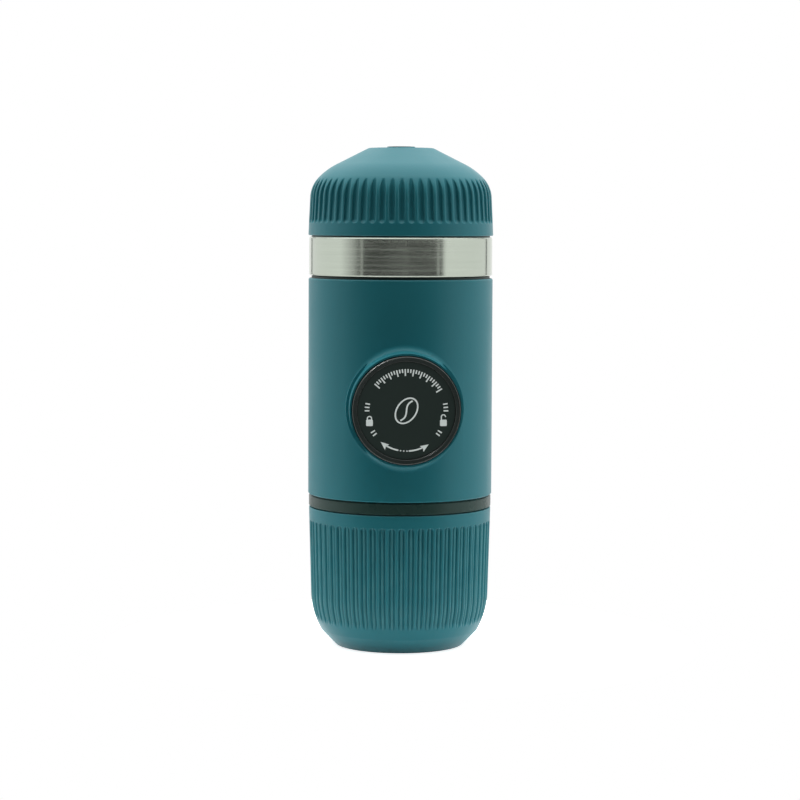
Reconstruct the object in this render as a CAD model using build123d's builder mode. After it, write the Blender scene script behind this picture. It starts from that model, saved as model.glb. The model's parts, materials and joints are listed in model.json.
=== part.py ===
"""Portable hand-pump espresso maker, stored upright: tank below, pump in the middle, cup on top.

Millimetres, +Z up, origin at the centre of the tank's flat base. The pump knob faces -Y.
In use the maker is turned over, so that the water lies on the collar's floor.
"""

import math
import os

from build123d import *

# Clearances and small details
RUN_GAP = 0.3  # between faces that turn or slide past each other
FIT = 0.05  # radial clearance of pressed and guided round parts
SEAM = 0.3  # height of the dark joint lines between casing pieces
EDGE = 0.35  # bevel on the casing's visible edges

# Casing: radii
BODY_RADIUS = 31.0
TANK_STEP = 0.3  # how far the tank's rim stands inside the body's radius
BAND_STEP = 0.25
STEEL_STEP = 0.15
CUP_STEP = 0.1  # how far the cup's rim stands outside it
SHELL_WALL = 2.2
SEAM_DEPTH = 1.0  # how deep the joint lines reach into the casing

# Casing: heights, from the bottom up
TANK_HEIGHT = 46.8
BAND_HEIGHT = 3.8
SHELL_HEIGHT = 72.7
FLANGE_HEIGHT = 0.7
STEEL_HEIGHT = 13.0
CUP_HEIGHT = 29.3

# Ribs: round grooves all round the tank and the cup
RIB_COUNT = 60
TANK_RIB_PHASE = 4.1  # degrees, where the thread happens to tighten
TANK_GROOVE_RADIUS = 1.15
TANK_GROOVE_DEPTH = 0.7
TANK_GROOVE_DROP = 5.35  # from the tank's rim to the centre of the groove's round top
TANK_GROOVE_END = 9.3  # height at which the grooves run out
TANK_GROOVE_FLARE = 0.9  # how far the cutter's end draws in from the shoulder
CUP_GROOVE_RADIUS = 0.85
CUP_GROOVE_FLOOR_RADIUS = 0.6
CUP_GROOVE_DEPTH = 1.15
CUP_GROOVE_RISE = 5.25  # from the cup's rim to the centre of the groove's round end
CUP_GROOVE_LENGTH = 17.0
CUP_GROOVE_LEAN = 7.0  # degrees

# Water tank
TANK_TAPER = 0.78  # how much the wall draws in down to the shoulder
TANK_SHOULDER_HEIGHT = 17.5
TANK_CURVE = 3.55  # how much the lower curve draws in
TANK_CHAMFER_HEIGHT = 5.0
TANK_CHAMFER_WIDTH = 4.9
TANK_WALL = 2.4
TANK_FLOOR = 2.2
MOUTH_WALL = 3.3

# Screw threads between tank and collar and between upper frame and outlet head
THREAD_LEAD = 12.0
THREAD_STARTS = 3
THREAD_DEPTH = 0.9
THREAD_TURNS = 0.45
RIDGE_ROOT = 1.9
RIDGE_CREST = 1.0
RIDGE_ANCHOR = 0.2  # how deep a ridge's foot is sunk in its wall
RIDGE_INSET = 0.4  # from the end of a neck to the first ridge

# Lower collar
NECK_DEPTH = 10.8  # below the tank's rim
NECK_WALL = 2.1
FLOOR_THICKNESS = 2.6
SKIRT_WALL = 2.2
LOWER_SKIRT = 8.8
GASKET_INSET = 0.5
GASKET_WIDTH = 1.4
GASKET_HEIGHT = 1.2

# Frame posts and the two long screws
POST_X = 15.5
POST_Y = 5.0
POST_RADIUS = 4.0
SCREW_RADIUS = 1.45
SCREW_HOLE_RADIUS = 1.75
SCREW_HEAD_RADIUS = 2.8
SCREW_HEAD_HEIGHT = 1.5
SCREW_BITE = 10.0
SCREW_SLOT = 0.7

# Pump
PUMP_RISE = 30.8  # axis above the shell's bottom edge
BARREL_BORE = 5.6
BARREL_WALL = 2.4
BARREL_END = 12.0  # closed end, behind the maker's axis
BARREL_MOUTH = 22.0  # open end, in front of it
EAR_THICKNESS = 6.0
SPRING_SEAT_RADIUS = 12.5
SPRING_SEAT_FACE = 8.0
SPRING_SEAT_THICKNESS = 2.0
ROD_RADIUS = 3.5
PISTON_SPACE = 1.5  # left in front of the closed end when the knob is in
PISTON_LENGTH = 5.0
PISTON_LAND = 1.2
SEAL_DEPTH = 1.3
SPRING_RADIUS = 10.5
SPRING_WIRE = 0.6
SPRING_TURNS = 7

# Pump knob and the boss around it
KNOB_RADIUS = 17.5
KNOB_LENGTH = 25.0
KNOB_WALL = 2.3
KNOB_WEB = 3.0
KNOB_RISE = 1.0  # how far the knob stands in front of the boss
BEZEL_WIDTH = 1.65
BEZEL_BEVEL = 0.6
FACE_THICKNESS = 0.9
FACE_SINK = 0.5
KNOB_SCREW_HEAD = 3.4
KNOB_SCREW_HEAD_HEIGHT = 1.6
KNOB_SCREW_LENGTH = 10.0
BOSS_RISE = 7.0  # how far the boss stands in front of the shell
BOSS_WALL = 0.6
BOSS_FILLET = 2.5
GUIDE_WALL = 1.5
GUIDE_END = 22.0

# Valve block behind the barrel
VALVE_BEHIND = 5.0  # from the barrel's closed end to the valve axis
VALVE_BLOCK_WIDTH = 14.0
VALVE_BLOCK_DEPTH = 12.0
VALVE_BLOCK_HALF = 16.0
VALVE_BORE = 2.8
PORT_RADIUS = 1.0
SEAT_RADIUS = 1.4
SEAT_GAP = 0.05
BALL_RADIUS = 2.0
INLET_PLUG = 5.5
OUTLET_PLUG = 4.0
OUTLET_SEAT_RISE = 4.5
VALVE_WEB = 3.3
VALVE_SPRING_RADIUS = 1.5
VALVE_SPRING_WIRE = 0.2
VALVE_SPRING_TURNS = 5
FITTING_FLANGE = 4.2
FITTING_FLANGE_HEIGHT = 1.5
SPIGOT_LENGTH = 4.0
SPIGOT_BORE = 0.9
TUBE_BORE = 1.5
TUBE_WALL = 1.0
TUBE_BOSS_RADIUS = 3.2
TUBE_BOSS_HEIGHT = 2.0

# Inlet filter and air vent in the collar's floor
FILTER_RADIUS = 4.3
FILTER_THICKNESS = 0.5
FILTER_RING_WALL = 1.3
FILTER_RING_HEIGHT = 2.0
FILTER_PLENUM = 1.1
FILTER_HOLE = 0.35
FILTER_RINGS = 3
FILTER_RING_PITCH = 1.1
FIRST_RING_HOLES = 6  # each ring of holes further out has as many more
VENT_X = -10.0
VENT_Y = -12.0
VENT_CAP_RADIUS = 3.4
VENT_CAP_HEIGHT = 0.9
VENT_STEM = 1.0
VENT_BULB = 1.5
VENT_BULB_HEIGHT = 1.6
VENT_HOLE = 0.6
VENT_HOLE_RING = 2.1
VENT_HOLES = 4

# Upper frame and brewing chamber
BREW_NECK_WALL = 1.9
NECK_TOP_GAP = 0.5
UPPER_SKIRT = 8.0
UPPER_RING = 2.5
PLATE_THICKNESS = 3.0
LEDGE_WIDTH = 3.1
LEDGE_HEIGHT = 2.0
SCREEN_THICKNESS = 0.8
SCREEN_HOLE = 0.5
SCREEN_RINGS = 5
SCREEN_RING_PITCH = 3.7
SCREEN_BOSS_RADIUS = 3.5
SCREEN_BOSS_DEPTH = 5.0
SCREEN_SCREW_HEAD = 3.0
SCREEN_SCREW_HEAD_HEIGHT = 1.6
BASKET_GASKET_HEIGHT = 1.0
BASKET_GASKET_WIDTH = 1.4
BASKET_HEIGHT = 14.2
BASKET_WALL = 0.6
BASKET_FLANGE = 1.0
BASKET_FLANGE_HEIGHT = 0.8
BASKET_CORNER = 1.0
BASKET_HOLE = 0.4
BASKET_RINGS = 6
BASKET_RING_PITCH = 2.8
HEAD_GASKET_HEIGHT = 1.5
HEAD_GASKET_WIDTH = 2.0

# Outlet head, steel band and spout
STEEL_WALL = 0.8
HEAD_WALL = 3.5
DECK_THICKNESS = 3.7
FUNNEL_INSET = 0.5
FUNNEL_HEIGHT = 2.2
SPOUT_BORE = 1.8
SPOUT_BASE = 12.0
SPOUT_NECK = 5.2
SPOUT_CONE_HEIGHT = 6.3
SPOUT_HEIGHT = 8.8
TIP_SOCKET = 3.0
TIP_SOCKET_DEPTH = 3.0
TIP_FLANGE = 4.6
TIP_FLANGE_HEIGHT = 1.2
TIP_RADIUS = 3.6
TIP_END_RADIUS = 3.0
TIP_LENGTH = 5.0
COLLAR_WALL = 2.0
COLLAR_HEIGHT = 4.8
ORING_RISE = 2.3
ORING_RADIUS = 0.85
ORING_GROOVE_DEPTH = 1.5
ORING_GROOVE_WIDTH = 1.8

# Cup
CUP_RIM_WALL = 2.2
CUP_WALL = 2.0
CUP_SOCKET_DEPTH = 5.2
CUP_TAPER = 0.6
CUP_SIDE = 12.8  # height of the near-upright wall
SHOULDER_IN = 3.2
SHOULDER_UP = 7.0
HAUNCH_IN = 6.3
HAUNCH_UP = 4.4
PLATEAU_RADIUS = 10.9
CUP_BOSS_RADIUS = 4.7
CUP_BOSS_HEIGHT = 0.5

# Levels, worked out from the heights
band_bottom = TANK_HEIGHT + SEAM
band_top = band_bottom + BAND_HEIGHT
shell_bottom = band_top + SEAM
shell_top = shell_bottom + SHELL_HEIGHT
flange_top = shell_top + FLANGE_HEIGHT
head_bottom = flange_top + RUN_GAP
steel_top = head_bottom + STEEL_HEIGHT
cup_rim = steel_top + SEAM
cup_top = cup_rim + CUP_HEIGHT
pump_height = shell_bottom + PUMP_RISE

# Radii, worked inwards from the body's
tank_radius = BODY_RADIUS - TANK_STEP
band_radius = BODY_RADIUS - BAND_STEP
seam_radius = BODY_RADIUS - SEAM_DEPTH
cup_radius = BODY_RADIUS + CUP_STEP
steel_radius = BODY_RADIUS - STEEL_STEP
shell_bore = BODY_RADIUS - SHELL_WALL
skirt_radius = shell_bore - FIT
mouth_radius = tank_radius - MOUTH_WALL
neck_radius = mouth_radius - RUN_GAP - THREAD_DEPTH
neck_bore = neck_radius - NECK_WALL
head_radius = steel_radius - STEEL_WALL - FIT
head_bore = head_radius - HEAD_WALL
brew_neck_radius = head_bore - RUN_GAP - THREAD_DEPTH
brew_bore = brew_neck_radius - BREW_NECK_WALL
cup_socket = cup_radius - CUP_RIM_WALL
cup_collar = cup_socket - RUN_GAP

# The stack in the brewing chamber, from the outlet head's deck down to the frame's plate
deck_bottom = cup_rim - DECK_THICKNESS
basket_top = deck_bottom - HEAD_GASKET_HEIGHT
basket_bottom = basket_top - BASKET_HEIGHT
screen_top = basket_bottom - BASKET_GASKET_HEIGHT
ledge_top = screen_top - SCREEN_THICKNESS
plate_top = ledge_top - LEDGE_HEIGHT
plate_bottom = plate_top - PLATE_THICKNESS
basket_flange_radius = brew_bore - RUN_GAP
basket_radius = basket_flange_radius - BASKET_FLANGE

# Pump and valve places
neck_bottom = TANK_HEIGHT - NECK_DEPTH
floor_bottom = shell_bottom - FLOOR_THICKNESS
gasket_top = TANK_HEIGHT + GASKET_HEIGHT
gasket_inner = mouth_radius + GASKET_INSET
gasket_outer = gasket_inner + GASKET_WIDTH
barrel_radius = BARREL_BORE + BARREL_WALL
ear_bottom = pump_height - EAR_THICKNESS / 2
ear_top = pump_height + EAR_THICKNESS / 2
boss_front = BODY_RADIUS + BOSS_RISE
knob_front = boss_front + KNOB_RISE
knob_end = knob_front - KNOB_LENGTH
face_front = knob_front - FACE_SINK
face_back = face_front - FACE_THICKNESS
web_back = face_back - KNOB_WEB
boss_bore = KNOB_RADIUS + RUN_GAP
boss_radius = boss_bore + BOSS_WALL
valve_y = BARREL_END + VALVE_BEHIND
valve_bottom = pump_height - VALVE_BLOCK_HALF
valve_top = pump_height + VALVE_BLOCK_HALF
inlet_seat = valve_bottom + INLET_PLUG
outlet_seat = pump_height + OUTLET_SEAT_RISE
outlet_plug_bottom = valve_top - OUTLET_PLUG
ball_rise = math.sqrt(BALL_RADIUS**2 - SEAT_RADIUS**2) + SEAT_GAP
spring_rise = math.sqrt(BALL_RADIUS**2 - VALVE_SPRING_RADIUS**2) + VALVE_SPRING_WIRE
spigot_radius = TUBE_BORE - FIT
tube_radius = TUBE_BORE + TUBE_WALL
head_seat = plate_top - SCREW_HEAD_HEIGHT
screw_end = ear_bottom - SCREW_BITE
rib_pitch = 360 / RIB_COUNT
thread_step = THREAD_LEAD / THREAD_STARTS
post_places = [(-POST_X, POST_Y), (POST_X, POST_Y)]

# Planes whose local Y runs along a turned part's axis: an outline is (radius, distance along it)
UPRIGHT = Plane(origin=(0, 0, 0), x_dir=(1, 0, 0), z_dir=(0, -1, 0))
VALVE = Plane(origin=(0, valve_y, 0), x_dir=(1, 0, 0), z_dir=(0, -1, 0))
PUMP = Plane(origin=(0, 0, pump_height), x_dir=(0, 0, 1), z_dir=(1, 0, 0))
# A plane that faces the front, for sketches on the pump's axis
FRONT = Plane(origin=(0, 0, pump_height), x_dir=(1, 0, 0), z_dir=(0, -1, 0))


def turned(outline, plane=UPRIGHT, mode=Mode.ADD):
    """Revolve an outline of (radius, distance) points about the plane's Y axis in this part."""
    with BuildSketch(plane) as section:
        with BuildLine():
            Polyline(*outline, close=True)
        make_face()
    revolve(section.sketch, axis=Axis(plane.origin, plane.y_dir), mode=mode)


def ring_outline(inner, outer, start, end):
    """The four corners of a plain ring's section."""
    return [(inner, start), (outer, start), (outer, end), (inner, end)]


def thread_ridge(root_radius, reach, bottom):
    """One right-hand helical ridge of trapezium section; a negative reach points inwards."""
    foot = -math.copysign(RIDGE_ANCHOR, reach)
    with BuildPart() as ridge:
        with BuildLine() as path:
            rise = THREAD_LEAD * THREAD_TURNS
            Helix(pitch=THREAD_LEAD, height=rise, radius=root_radius, center=(0, 0, bottom))
        with BuildSketch(Plane(origin=path.line @ 0, x_dir=(1, 0, 0), z_dir=path.line % 0)):
            with BuildLine():
                Polyline(
                    (foot, -RIDGE_ROOT / 2),
                    (reach, -RIDGE_CREST / 2),
                    (reach, RIDGE_CREST / 2),
                    (foot, RIDGE_ROOT / 2),
                    close=True,
                )
            make_face()
        sweep(path=path.line, is_frenet=True)
    return ridge.part


def coil_spring(radius, wire, length, turns):
    """A coil spring that stands on Z = 0, for placing where it works.

    Its path is a helix in quarter turns, each of two arcs that meet without a kink.
    """
    climb = (length - 2 * wire) / (turns * 2 * math.pi)

    def place(angle):
        return Vector(radius * math.cos(angle), radius * math.sin(angle), wire + climb * angle)

    def way(angle):
        return Vector(-radius * math.sin(angle), radius * math.cos(angle), climb).normalized()

    with BuildPart() as spring:
        with BuildLine() as path:
            for quarter in range(turns * 4):
                first, last = quarter * math.pi / 2, (quarter + 1) * math.pi / 2
                span = place(last) - place(first)
                ways = way(first) + way(last)
                free = 4 - ways.dot(ways)
                along = span.dot(ways)
                reach = (math.sqrt(along**2 + free * span.dot(span)) - along) / free
                lead_in = place(first) + way(first) * reach
                lead_out = place(last) - way(last) * reach
                arc = TangentArc(place(first), (lead_in + lead_out) * 0.5, tangent=way(first))
                TangentArc(arc @ 1, place(last), tangent=arc % 1)
        with BuildSketch(Plane(origin=path.line @ 0, z_dir=path.line % 0)):
            Circle(wire)
        sweep(path=path.line)
    return spring.part


def hole_rings(hole_radius, rings, pitch, mode=Mode.SUBTRACT):
    """Holes in rings of six, twelve, eighteen and so on, in the current sketch."""
    for ring in range(1, rings + 1):
        with PolarLocations(ring * pitch, FIRST_RING_HOLES * ring):
            Circle(hole_radius, mode=mode)


def save(piece, name):
    """Label a finished piece and write it to its own file."""
    piece.label = name
    export_step(piece, f"parts/{name}.step")
    print(name, "solids", len(piece.solids()), "volume", round(piece.volume, 1))


os.makedirs("parts", exist_ok=True)

# Thread ridges: the inner and the outer one of a pair stand half a step apart
lower_ridge_bottom = neck_bottom + RIDGE_INSET + RIDGE_ROOT / 2
upper_ridge_bottom = flange_top + RIDGE_INSET + RIDGE_ROOT / 2
collar_ridge = thread_ridge(neck_radius, THREAD_DEPTH, lower_ridge_bottom)
tank_ridge = thread_ridge(mouth_radius, -THREAD_DEPTH, lower_ridge_bottom + thread_step / 2)
frame_ridge = thread_ridge(brew_neck_radius, THREAD_DEPTH, upper_ridge_bottom)
head_ridge = thread_ridge(head_bore, -THREAD_DEPTH, upper_ridge_bottom + thread_step / 2)

# Groove cutters, both at angle zero
shoulder_radius = tank_radius - TANK_TAPER
groove_stand = TANK_GROOVE_RADIUS - TANK_GROOVE_DEPTH
with BuildPart() as tank_groove:
    groove_top = (tank_radius + groove_stand, 0, TANK_HEIGHT - TANK_GROOVE_DROP)
    groove_bend = (shoulder_radius + groove_stand, 0, TANK_SHOULDER_HEIGHT)
    groove_end = (groove_bend[0] - TANK_GROOVE_FLARE, 0, TANK_GROOVE_END)
    with BuildLine() as route:
        straight = Line(groove_top, groove_bend)
        TangentArc(groove_bend, groove_end, tangent=straight % 1)
    with BuildSketch(Plane(origin=groove_top, z_dir=straight % 0)):
        Circle(TANK_GROOVE_RADIUS)
    sweep(path=route.line)
    with Locations(groove_top):
        Sphere(TANK_GROOVE_RADIUS)

with BuildPart() as cup_groove:
    lean = math.radians(CUP_GROOVE_LEAN)
    groove_foot = (cup_radius - CUP_GROOVE_DEPTH, 0, cup_rim + CUP_GROOVE_RISE)
    outwards = (math.cos(lean), 0, math.sin(lean))
    # Straight sides and a rounded floor, so that the cup leaves its mould
    with BuildSketch(Plane(origin=groove_foot, x_dir=(0, 1, 0), z_dir=outwards)):
        with Locations((0, CUP_GROOVE_LENGTH / 2)):
            SlotCenterToCenter(CUP_GROOVE_LENGTH, 2 * CUP_GROOVE_RADIUS, rotation=90)
    extrude(amount=2 * CUP_GROOVE_DEPTH)
    groove_floor = cup_groove.faces().sort_by(Axis(groove_foot, outwards))[0]
    fillet(groove_floor.edges(), CUP_GROOVE_FLOOR_RADIUS)

# Water tank: a hollow vessel with a threaded mouth
with BuildPart() as water_tank:
    base_radius = shoulder_radius - TANK_CURVE - TANK_CHAMFER_WIDTH
    rim_corner = (tank_radius, TANK_HEIGHT - EDGE)
    shoulder = (shoulder_radius, TANK_SHOULDER_HEIGHT)
    knee = (shoulder_radius - TANK_CURVE, TANK_CHAMFER_HEIGHT)
    with BuildSketch(Plane.XZ):
        with BuildLine():
            wall = Line(rim_corner, shoulder)
            TangentArc(shoulder, knee, tangent=wall % 1)
            Polyline(
                knee,
                (base_radius, 0),
                (0, 0),
                (0, TANK_HEIGHT),
                (tank_radius - EDGE, TANK_HEIGHT),
                rim_corner,
            )
        make_face()
        with BuildLine():
            inner_shoulder = (shoulder_radius - TANK_WALL, TANK_SHOULDER_HEIGHT)
            slant = math.atan2(TANK_CHAMFER_HEIGHT, TANK_CHAMFER_WIDTH)
            inner_knee = (
                knee[0] - TANK_WALL * math.sin(slant),
                knee[1] + TANK_WALL * math.cos(slant),
            )
            floor_edge = inner_knee[0] - (inner_knee[1] - TANK_FLOOR) / math.tan(slant)
            throat = neck_bottom - RIDGE_ROOT
            inner_radius = tank_radius - TANK_WALL
            cavity = Line((inner_radius, throat - (inner_radius - mouth_radius)), inner_shoulder)
            TangentArc(inner_shoulder, inner_knee, tangent=cavity % 1)
            Polyline(
                inner_knee,
                (floor_edge, TANK_FLOOR),
                (0, TANK_FLOOR),
                (0, TANK_HEIGHT),
                (mouth_radius, TANK_HEIGHT),
                (mouth_radius, throat),
                cavity @ 0,
            )
        make_face(mode=Mode.SUBTRACT)
    revolve(axis=Axis.Z)
    with PolarLocations(0, RIB_COUNT, start_angle=TANK_RIB_PHASE):
        add(tank_groove.part, mode=Mode.SUBTRACT)
    with PolarLocations(0, THREAD_STARTS):
        add(tank_ridge)
save(water_tank.part, "water_tank")

# Tank gasket: lies on the tank's rim, in a groove under the collar
with BuildPart() as tank_gasket:
    turned(ring_outline(gasket_inner, gasket_outer, TANK_HEIGHT, gasket_top))
save(tank_gasket.part, "tank_gasket")

# Lower collar: black band, threaded neck, floor, skirt inside the shell and the lower posts
with BuildPart() as lower_collar:
    skirt_bore = skirt_radius - SKIRT_WALL
    turned(
        [
            (neck_bore, neck_bottom),
            (neck_radius, neck_bottom),
            (neck_radius, band_bottom),
            (band_radius - EDGE, band_bottom),
            (band_radius, band_bottom + EDGE),
            (band_radius, band_top - EDGE),
            (band_radius - EDGE, band_top),
            (seam_radius, band_top),
            (seam_radius, shell_bottom),
            (skirt_radius, shell_bottom),
            (skirt_radius, shell_bottom + LOWER_SKIRT),
            (skirt_bore, shell_bottom + LOWER_SKIRT),
            (skirt_bore, shell_bottom),
            (0, shell_bottom),
            (0, floor_bottom),
            (neck_bore, floor_bottom),
        ]
    )
    turned(
        ring_outline(gasket_inner - RUN_GAP, gasket_outer + RUN_GAP, band_bottom, gasket_top),
        mode=Mode.SUBTRACT,
    )
    with PolarLocations(0, THREAD_STARTS):
        add(collar_ridge)
    with BuildSketch(Plane.XY.offset(shell_bottom)):
        with Locations(*post_places):
            Circle(POST_RADIUS)
    extrude(amount=ear_bottom - shell_bottom)
    with BuildSketch(Plane.XY.offset(ear_bottom)):
        with Locations(*post_places):
            Circle(SCREW_RADIUS + FIT)
    extrude(amount=-SCREW_BITE - SCREW_HEAD_HEIGHT, mode=Mode.SUBTRACT)
    # The inlet: a ring for the filter below the floor, a spigot for the tube above it
    filter_ring = FILTER_RADIUS + FIT
    turned(
        ring_outline(
            filter_ring,
            filter_ring + FILTER_RING_WALL,
            floor_bottom - FILTER_RING_HEIGHT,
            floor_bottom,
        ),
        VALVE,
    )
    spigot_bottom = shell_bottom + TUBE_BOSS_HEIGHT
    turned(
        [
            (0, shell_bottom),
            (TUBE_BOSS_RADIUS, shell_bottom),
            (TUBE_BOSS_RADIUS, spigot_bottom),
            (spigot_radius, spigot_bottom),
            (spigot_radius, spigot_bottom + SPIGOT_LENGTH),
            (0, spigot_bottom + SPIGOT_LENGTH),
        ],
        VALVE,
    )
    turned(
        ring_outline(0, SPIGOT_BORE, floor_bottom, spigot_bottom + SPIGOT_LENGTH),
        VALVE,
        Mode.SUBTRACT,
    )
    # The air vent: a hole for the valve's stem with small air holes round it
    with BuildSketch(Plane.XY.offset(floor_bottom)):
        with Locations((VENT_X, VENT_Y)):
            Circle(VENT_STEM + FIT)
            with PolarLocations(VENT_HOLE_RING, VENT_HOLES):
                Circle(VENT_HOLE)
    extrude(amount=FLOOR_THICKNESS, mode=Mode.SUBTRACT)
save(lower_collar.part, "lower_collar")

# Inlet filter: a perforated disc pressed into its ring
with BuildPart() as inlet_filter:
    with BuildSketch(Plane.XY.offset(floor_bottom - FILTER_PLENUM - FILTER_THICKNESS)):
        with Locations((0, valve_y)):
            Circle(FILTER_RADIUS)
            Circle(FILTER_HOLE, mode=Mode.SUBTRACT)
            hole_rings(FILTER_HOLE, FILTER_RINGS, FILTER_RING_PITCH)
    extrude(amount=FILTER_THICKNESS)
save(inlet_filter.part, "inlet_filter")

# Vent valve: a soft umbrella under the floor, held by the bulb on its stem
with BuildPart() as vent_valve:
    vent = Plane(origin=(VENT_X, VENT_Y, 0), x_dir=(1, 0, 0), z_dir=(0, -1, 0))
    turned(
        [
            (0, floor_bottom - VENT_CAP_HEIGHT),
            (VENT_CAP_RADIUS - VENT_CAP_HEIGHT, floor_bottom - VENT_CAP_HEIGHT),
            (VENT_CAP_RADIUS, floor_bottom),
            (VENT_STEM, floor_bottom),
            (VENT_STEM, shell_bottom),
            (VENT_BULB, shell_bottom),
            (VENT_STEM, shell_bottom + VENT_BULB_HEIGHT),
            (0, shell_bottom + VENT_BULB_HEIGHT),
        ],
        vent,
    )
save(vent_valve.part, "vent_valve")

# Body shell: a smooth tube with the knob's boss and a guide tube behind it
with BuildPart() as body_shell:
    with BuildSketch(Plane.XY.offset(shell_bottom)):
        Circle(BODY_RADIUS)
    extrude(amount=SHELL_HEIGHT)
    with BuildSketch(FRONT):
        Circle(boss_radius)
    extrude(amount=boss_front)
    joint_line = body_shell.edges().filter_by(GeomType.BSPLINE)
    fillet(joint_line, BOSS_FILLET)
    turned(ring_outline(0, shell_bore, shell_bottom, shell_top), mode=Mode.SUBTRACT)
    with BuildSketch(FRONT.offset(GUIDE_END)):
        Circle(boss_bore + GUIDE_WALL)
    extrude(amount=shell_bore - GUIDE_END)
    with BuildSketch(FRONT.offset(GUIDE_END)):
        Circle(boss_bore)
    extrude(amount=boss_front - GUIDE_END, mode=Mode.SUBTRACT)
    rims = body_shell.edges().filter_by(GeomType.CIRCLE).filter_by(
        lambda edge: abs(edge.radius - BODY_RADIUS) < FIT
    )
    chamfer(rims, EDGE)
save(body_shell.part, "body_shell")

# Upper frame: flange under the outlet head, threaded neck, brewing chamber and upper posts
with BuildPart() as upper_frame:
    neck_top = deck_bottom - NECK_TOP_GAP
    turned(
        [
            (0, plate_bottom),
            (brew_neck_radius, plate_bottom),
            (brew_neck_radius, shell_top - UPPER_RING),
            (skirt_bore, shell_top - UPPER_RING),
            (skirt_bore, shell_top - UPPER_SKIRT),
            (skirt_radius, shell_top - UPPER_SKIRT),
            (skirt_radius, shell_top),
            (seam_radius, shell_top),
            (seam_radius, flange_top),
            (brew_neck_radius, flange_top),
            (brew_neck_radius, neck_top),
            (brew_bore, neck_top),
            (brew_bore, ledge_top),
            (brew_bore - LEDGE_WIDTH, ledge_top),
            (brew_bore - LEDGE_WIDTH, plate_top),
            (0, plate_top),
        ]
    )
    with PolarLocations(0, THREAD_STARTS):
        add(frame_ridge)
    with BuildSketch(Plane.XY.offset(ear_top)):
        with Locations(*post_places):
            Circle(POST_RADIUS)
    extrude(amount=plate_bottom - ear_top)
    with Locations(*[(x, y, plate_top) for x, y in post_places]):
        CounterBoreHole(
            SCREW_HOLE_RADIUS,
            SCREW_HEAD_RADIUS + RUN_GAP,
            SCREW_HEAD_HEIGHT,
            depth=plate_top - ear_top,
        )
    # The boss that the shower screen's screw bites into
    screen_hole_end = plate_bottom - SCREEN_BOSS_DEPTH + PLATE_THICKNESS / 2
    turned(ring_outline(0, SCREEN_BOSS_RADIUS, plate_bottom - SCREEN_BOSS_DEPTH, ledge_top))
    turned(
        ring_outline(0, SCREW_RADIUS + FIT, screen_hole_end, ledge_top),
        mode=Mode.SUBTRACT,
    )
    # The spigot that takes the water from the pump
    tube_top = plate_bottom - TUBE_BOSS_HEIGHT
    turned(
        [
            (0, tube_top - SPIGOT_LENGTH),
            (spigot_radius, tube_top - SPIGOT_LENGTH),
            (spigot_radius, tube_top),
            (TUBE_BOSS_RADIUS, tube_top),
            (TUBE_BOSS_RADIUS, plate_bottom),
            (0, plate_bottom),
        ],
        VALVE,
    )
    turned(
        ring_outline(0, SPIGOT_BORE, tube_top - SPIGOT_LENGTH, plate_top),
        VALVE,
        Mode.SUBTRACT,
    )
save(upper_frame.part, "upper_frame")

# Frame screws: two long screws through the upper posts and the barrel's ears
with BuildPart() as frame_screws:
    for post_x, post_y in post_places:
        post = Plane(origin=(post_x, post_y, 0), x_dir=(1, 0, 0), z_dir=(0, -1, 0))
        turned(
            [
                (0, screw_end),
                (SCREW_RADIUS, screw_end),
                (SCREW_RADIUS, head_seat),
                (SCREW_HEAD_RADIUS, head_seat),
                (SCREW_HEAD_RADIUS, plate_top),
                (0, plate_top),
            ],
            post,
        )
    with BuildSketch(Plane.XY.offset(plate_top)):
        with Locations(*post_places):
            Rectangle(2 * SCREW_HEAD_RADIUS, SCREW_SLOT)
            Rectangle(SCREW_SLOT, 2 * SCREW_HEAD_RADIUS)
    extrude(amount=-SCREW_SLOT, mode=Mode.SUBTRACT)
save(frame_screws.part, "frame_screws")

# Shower screen: a perforated steel disc on the chamber's ledge
with BuildPart() as shower_screen:
    with BuildSketch(Plane.XY.offset(ledge_top)):
        Circle(brew_bore - RUN_GAP)
        Circle(SCREW_RADIUS + FIT, mode=Mode.SUBTRACT)
        hole_rings(SCREEN_HOLE, SCREEN_RINGS, SCREEN_RING_PITCH)
    extrude(amount=SCREEN_THICKNESS)
save(shower_screen.part, "shower_screen")

# Shower screw: holds the screen at its centre
with BuildPart() as shower_screw:
    shower_screw_top = screen_top + SCREEN_SCREW_HEAD_HEIGHT
    turned(
        [
            (0, screen_hole_end + EDGE),
            (SCREW_RADIUS, screen_hole_end + EDGE),
            (SCREW_RADIUS, screen_top),
            (SCREEN_SCREW_HEAD, screen_top),
            (SCREEN_SCREW_HEAD, shower_screw_top - EDGE),
            (SCREEN_SCREW_HEAD - EDGE, shower_screw_top),
            (0, shower_screw_top),
        ]
    )
    with BuildSketch(Plane.XY.offset(shower_screw_top)):
        Rectangle(2 * SCREEN_SCREW_HEAD, SCREW_SLOT)
    extrude(amount=-SCREW_SLOT, mode=Mode.SUBTRACT)
save(shower_screw.part, "shower_screw")

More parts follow.
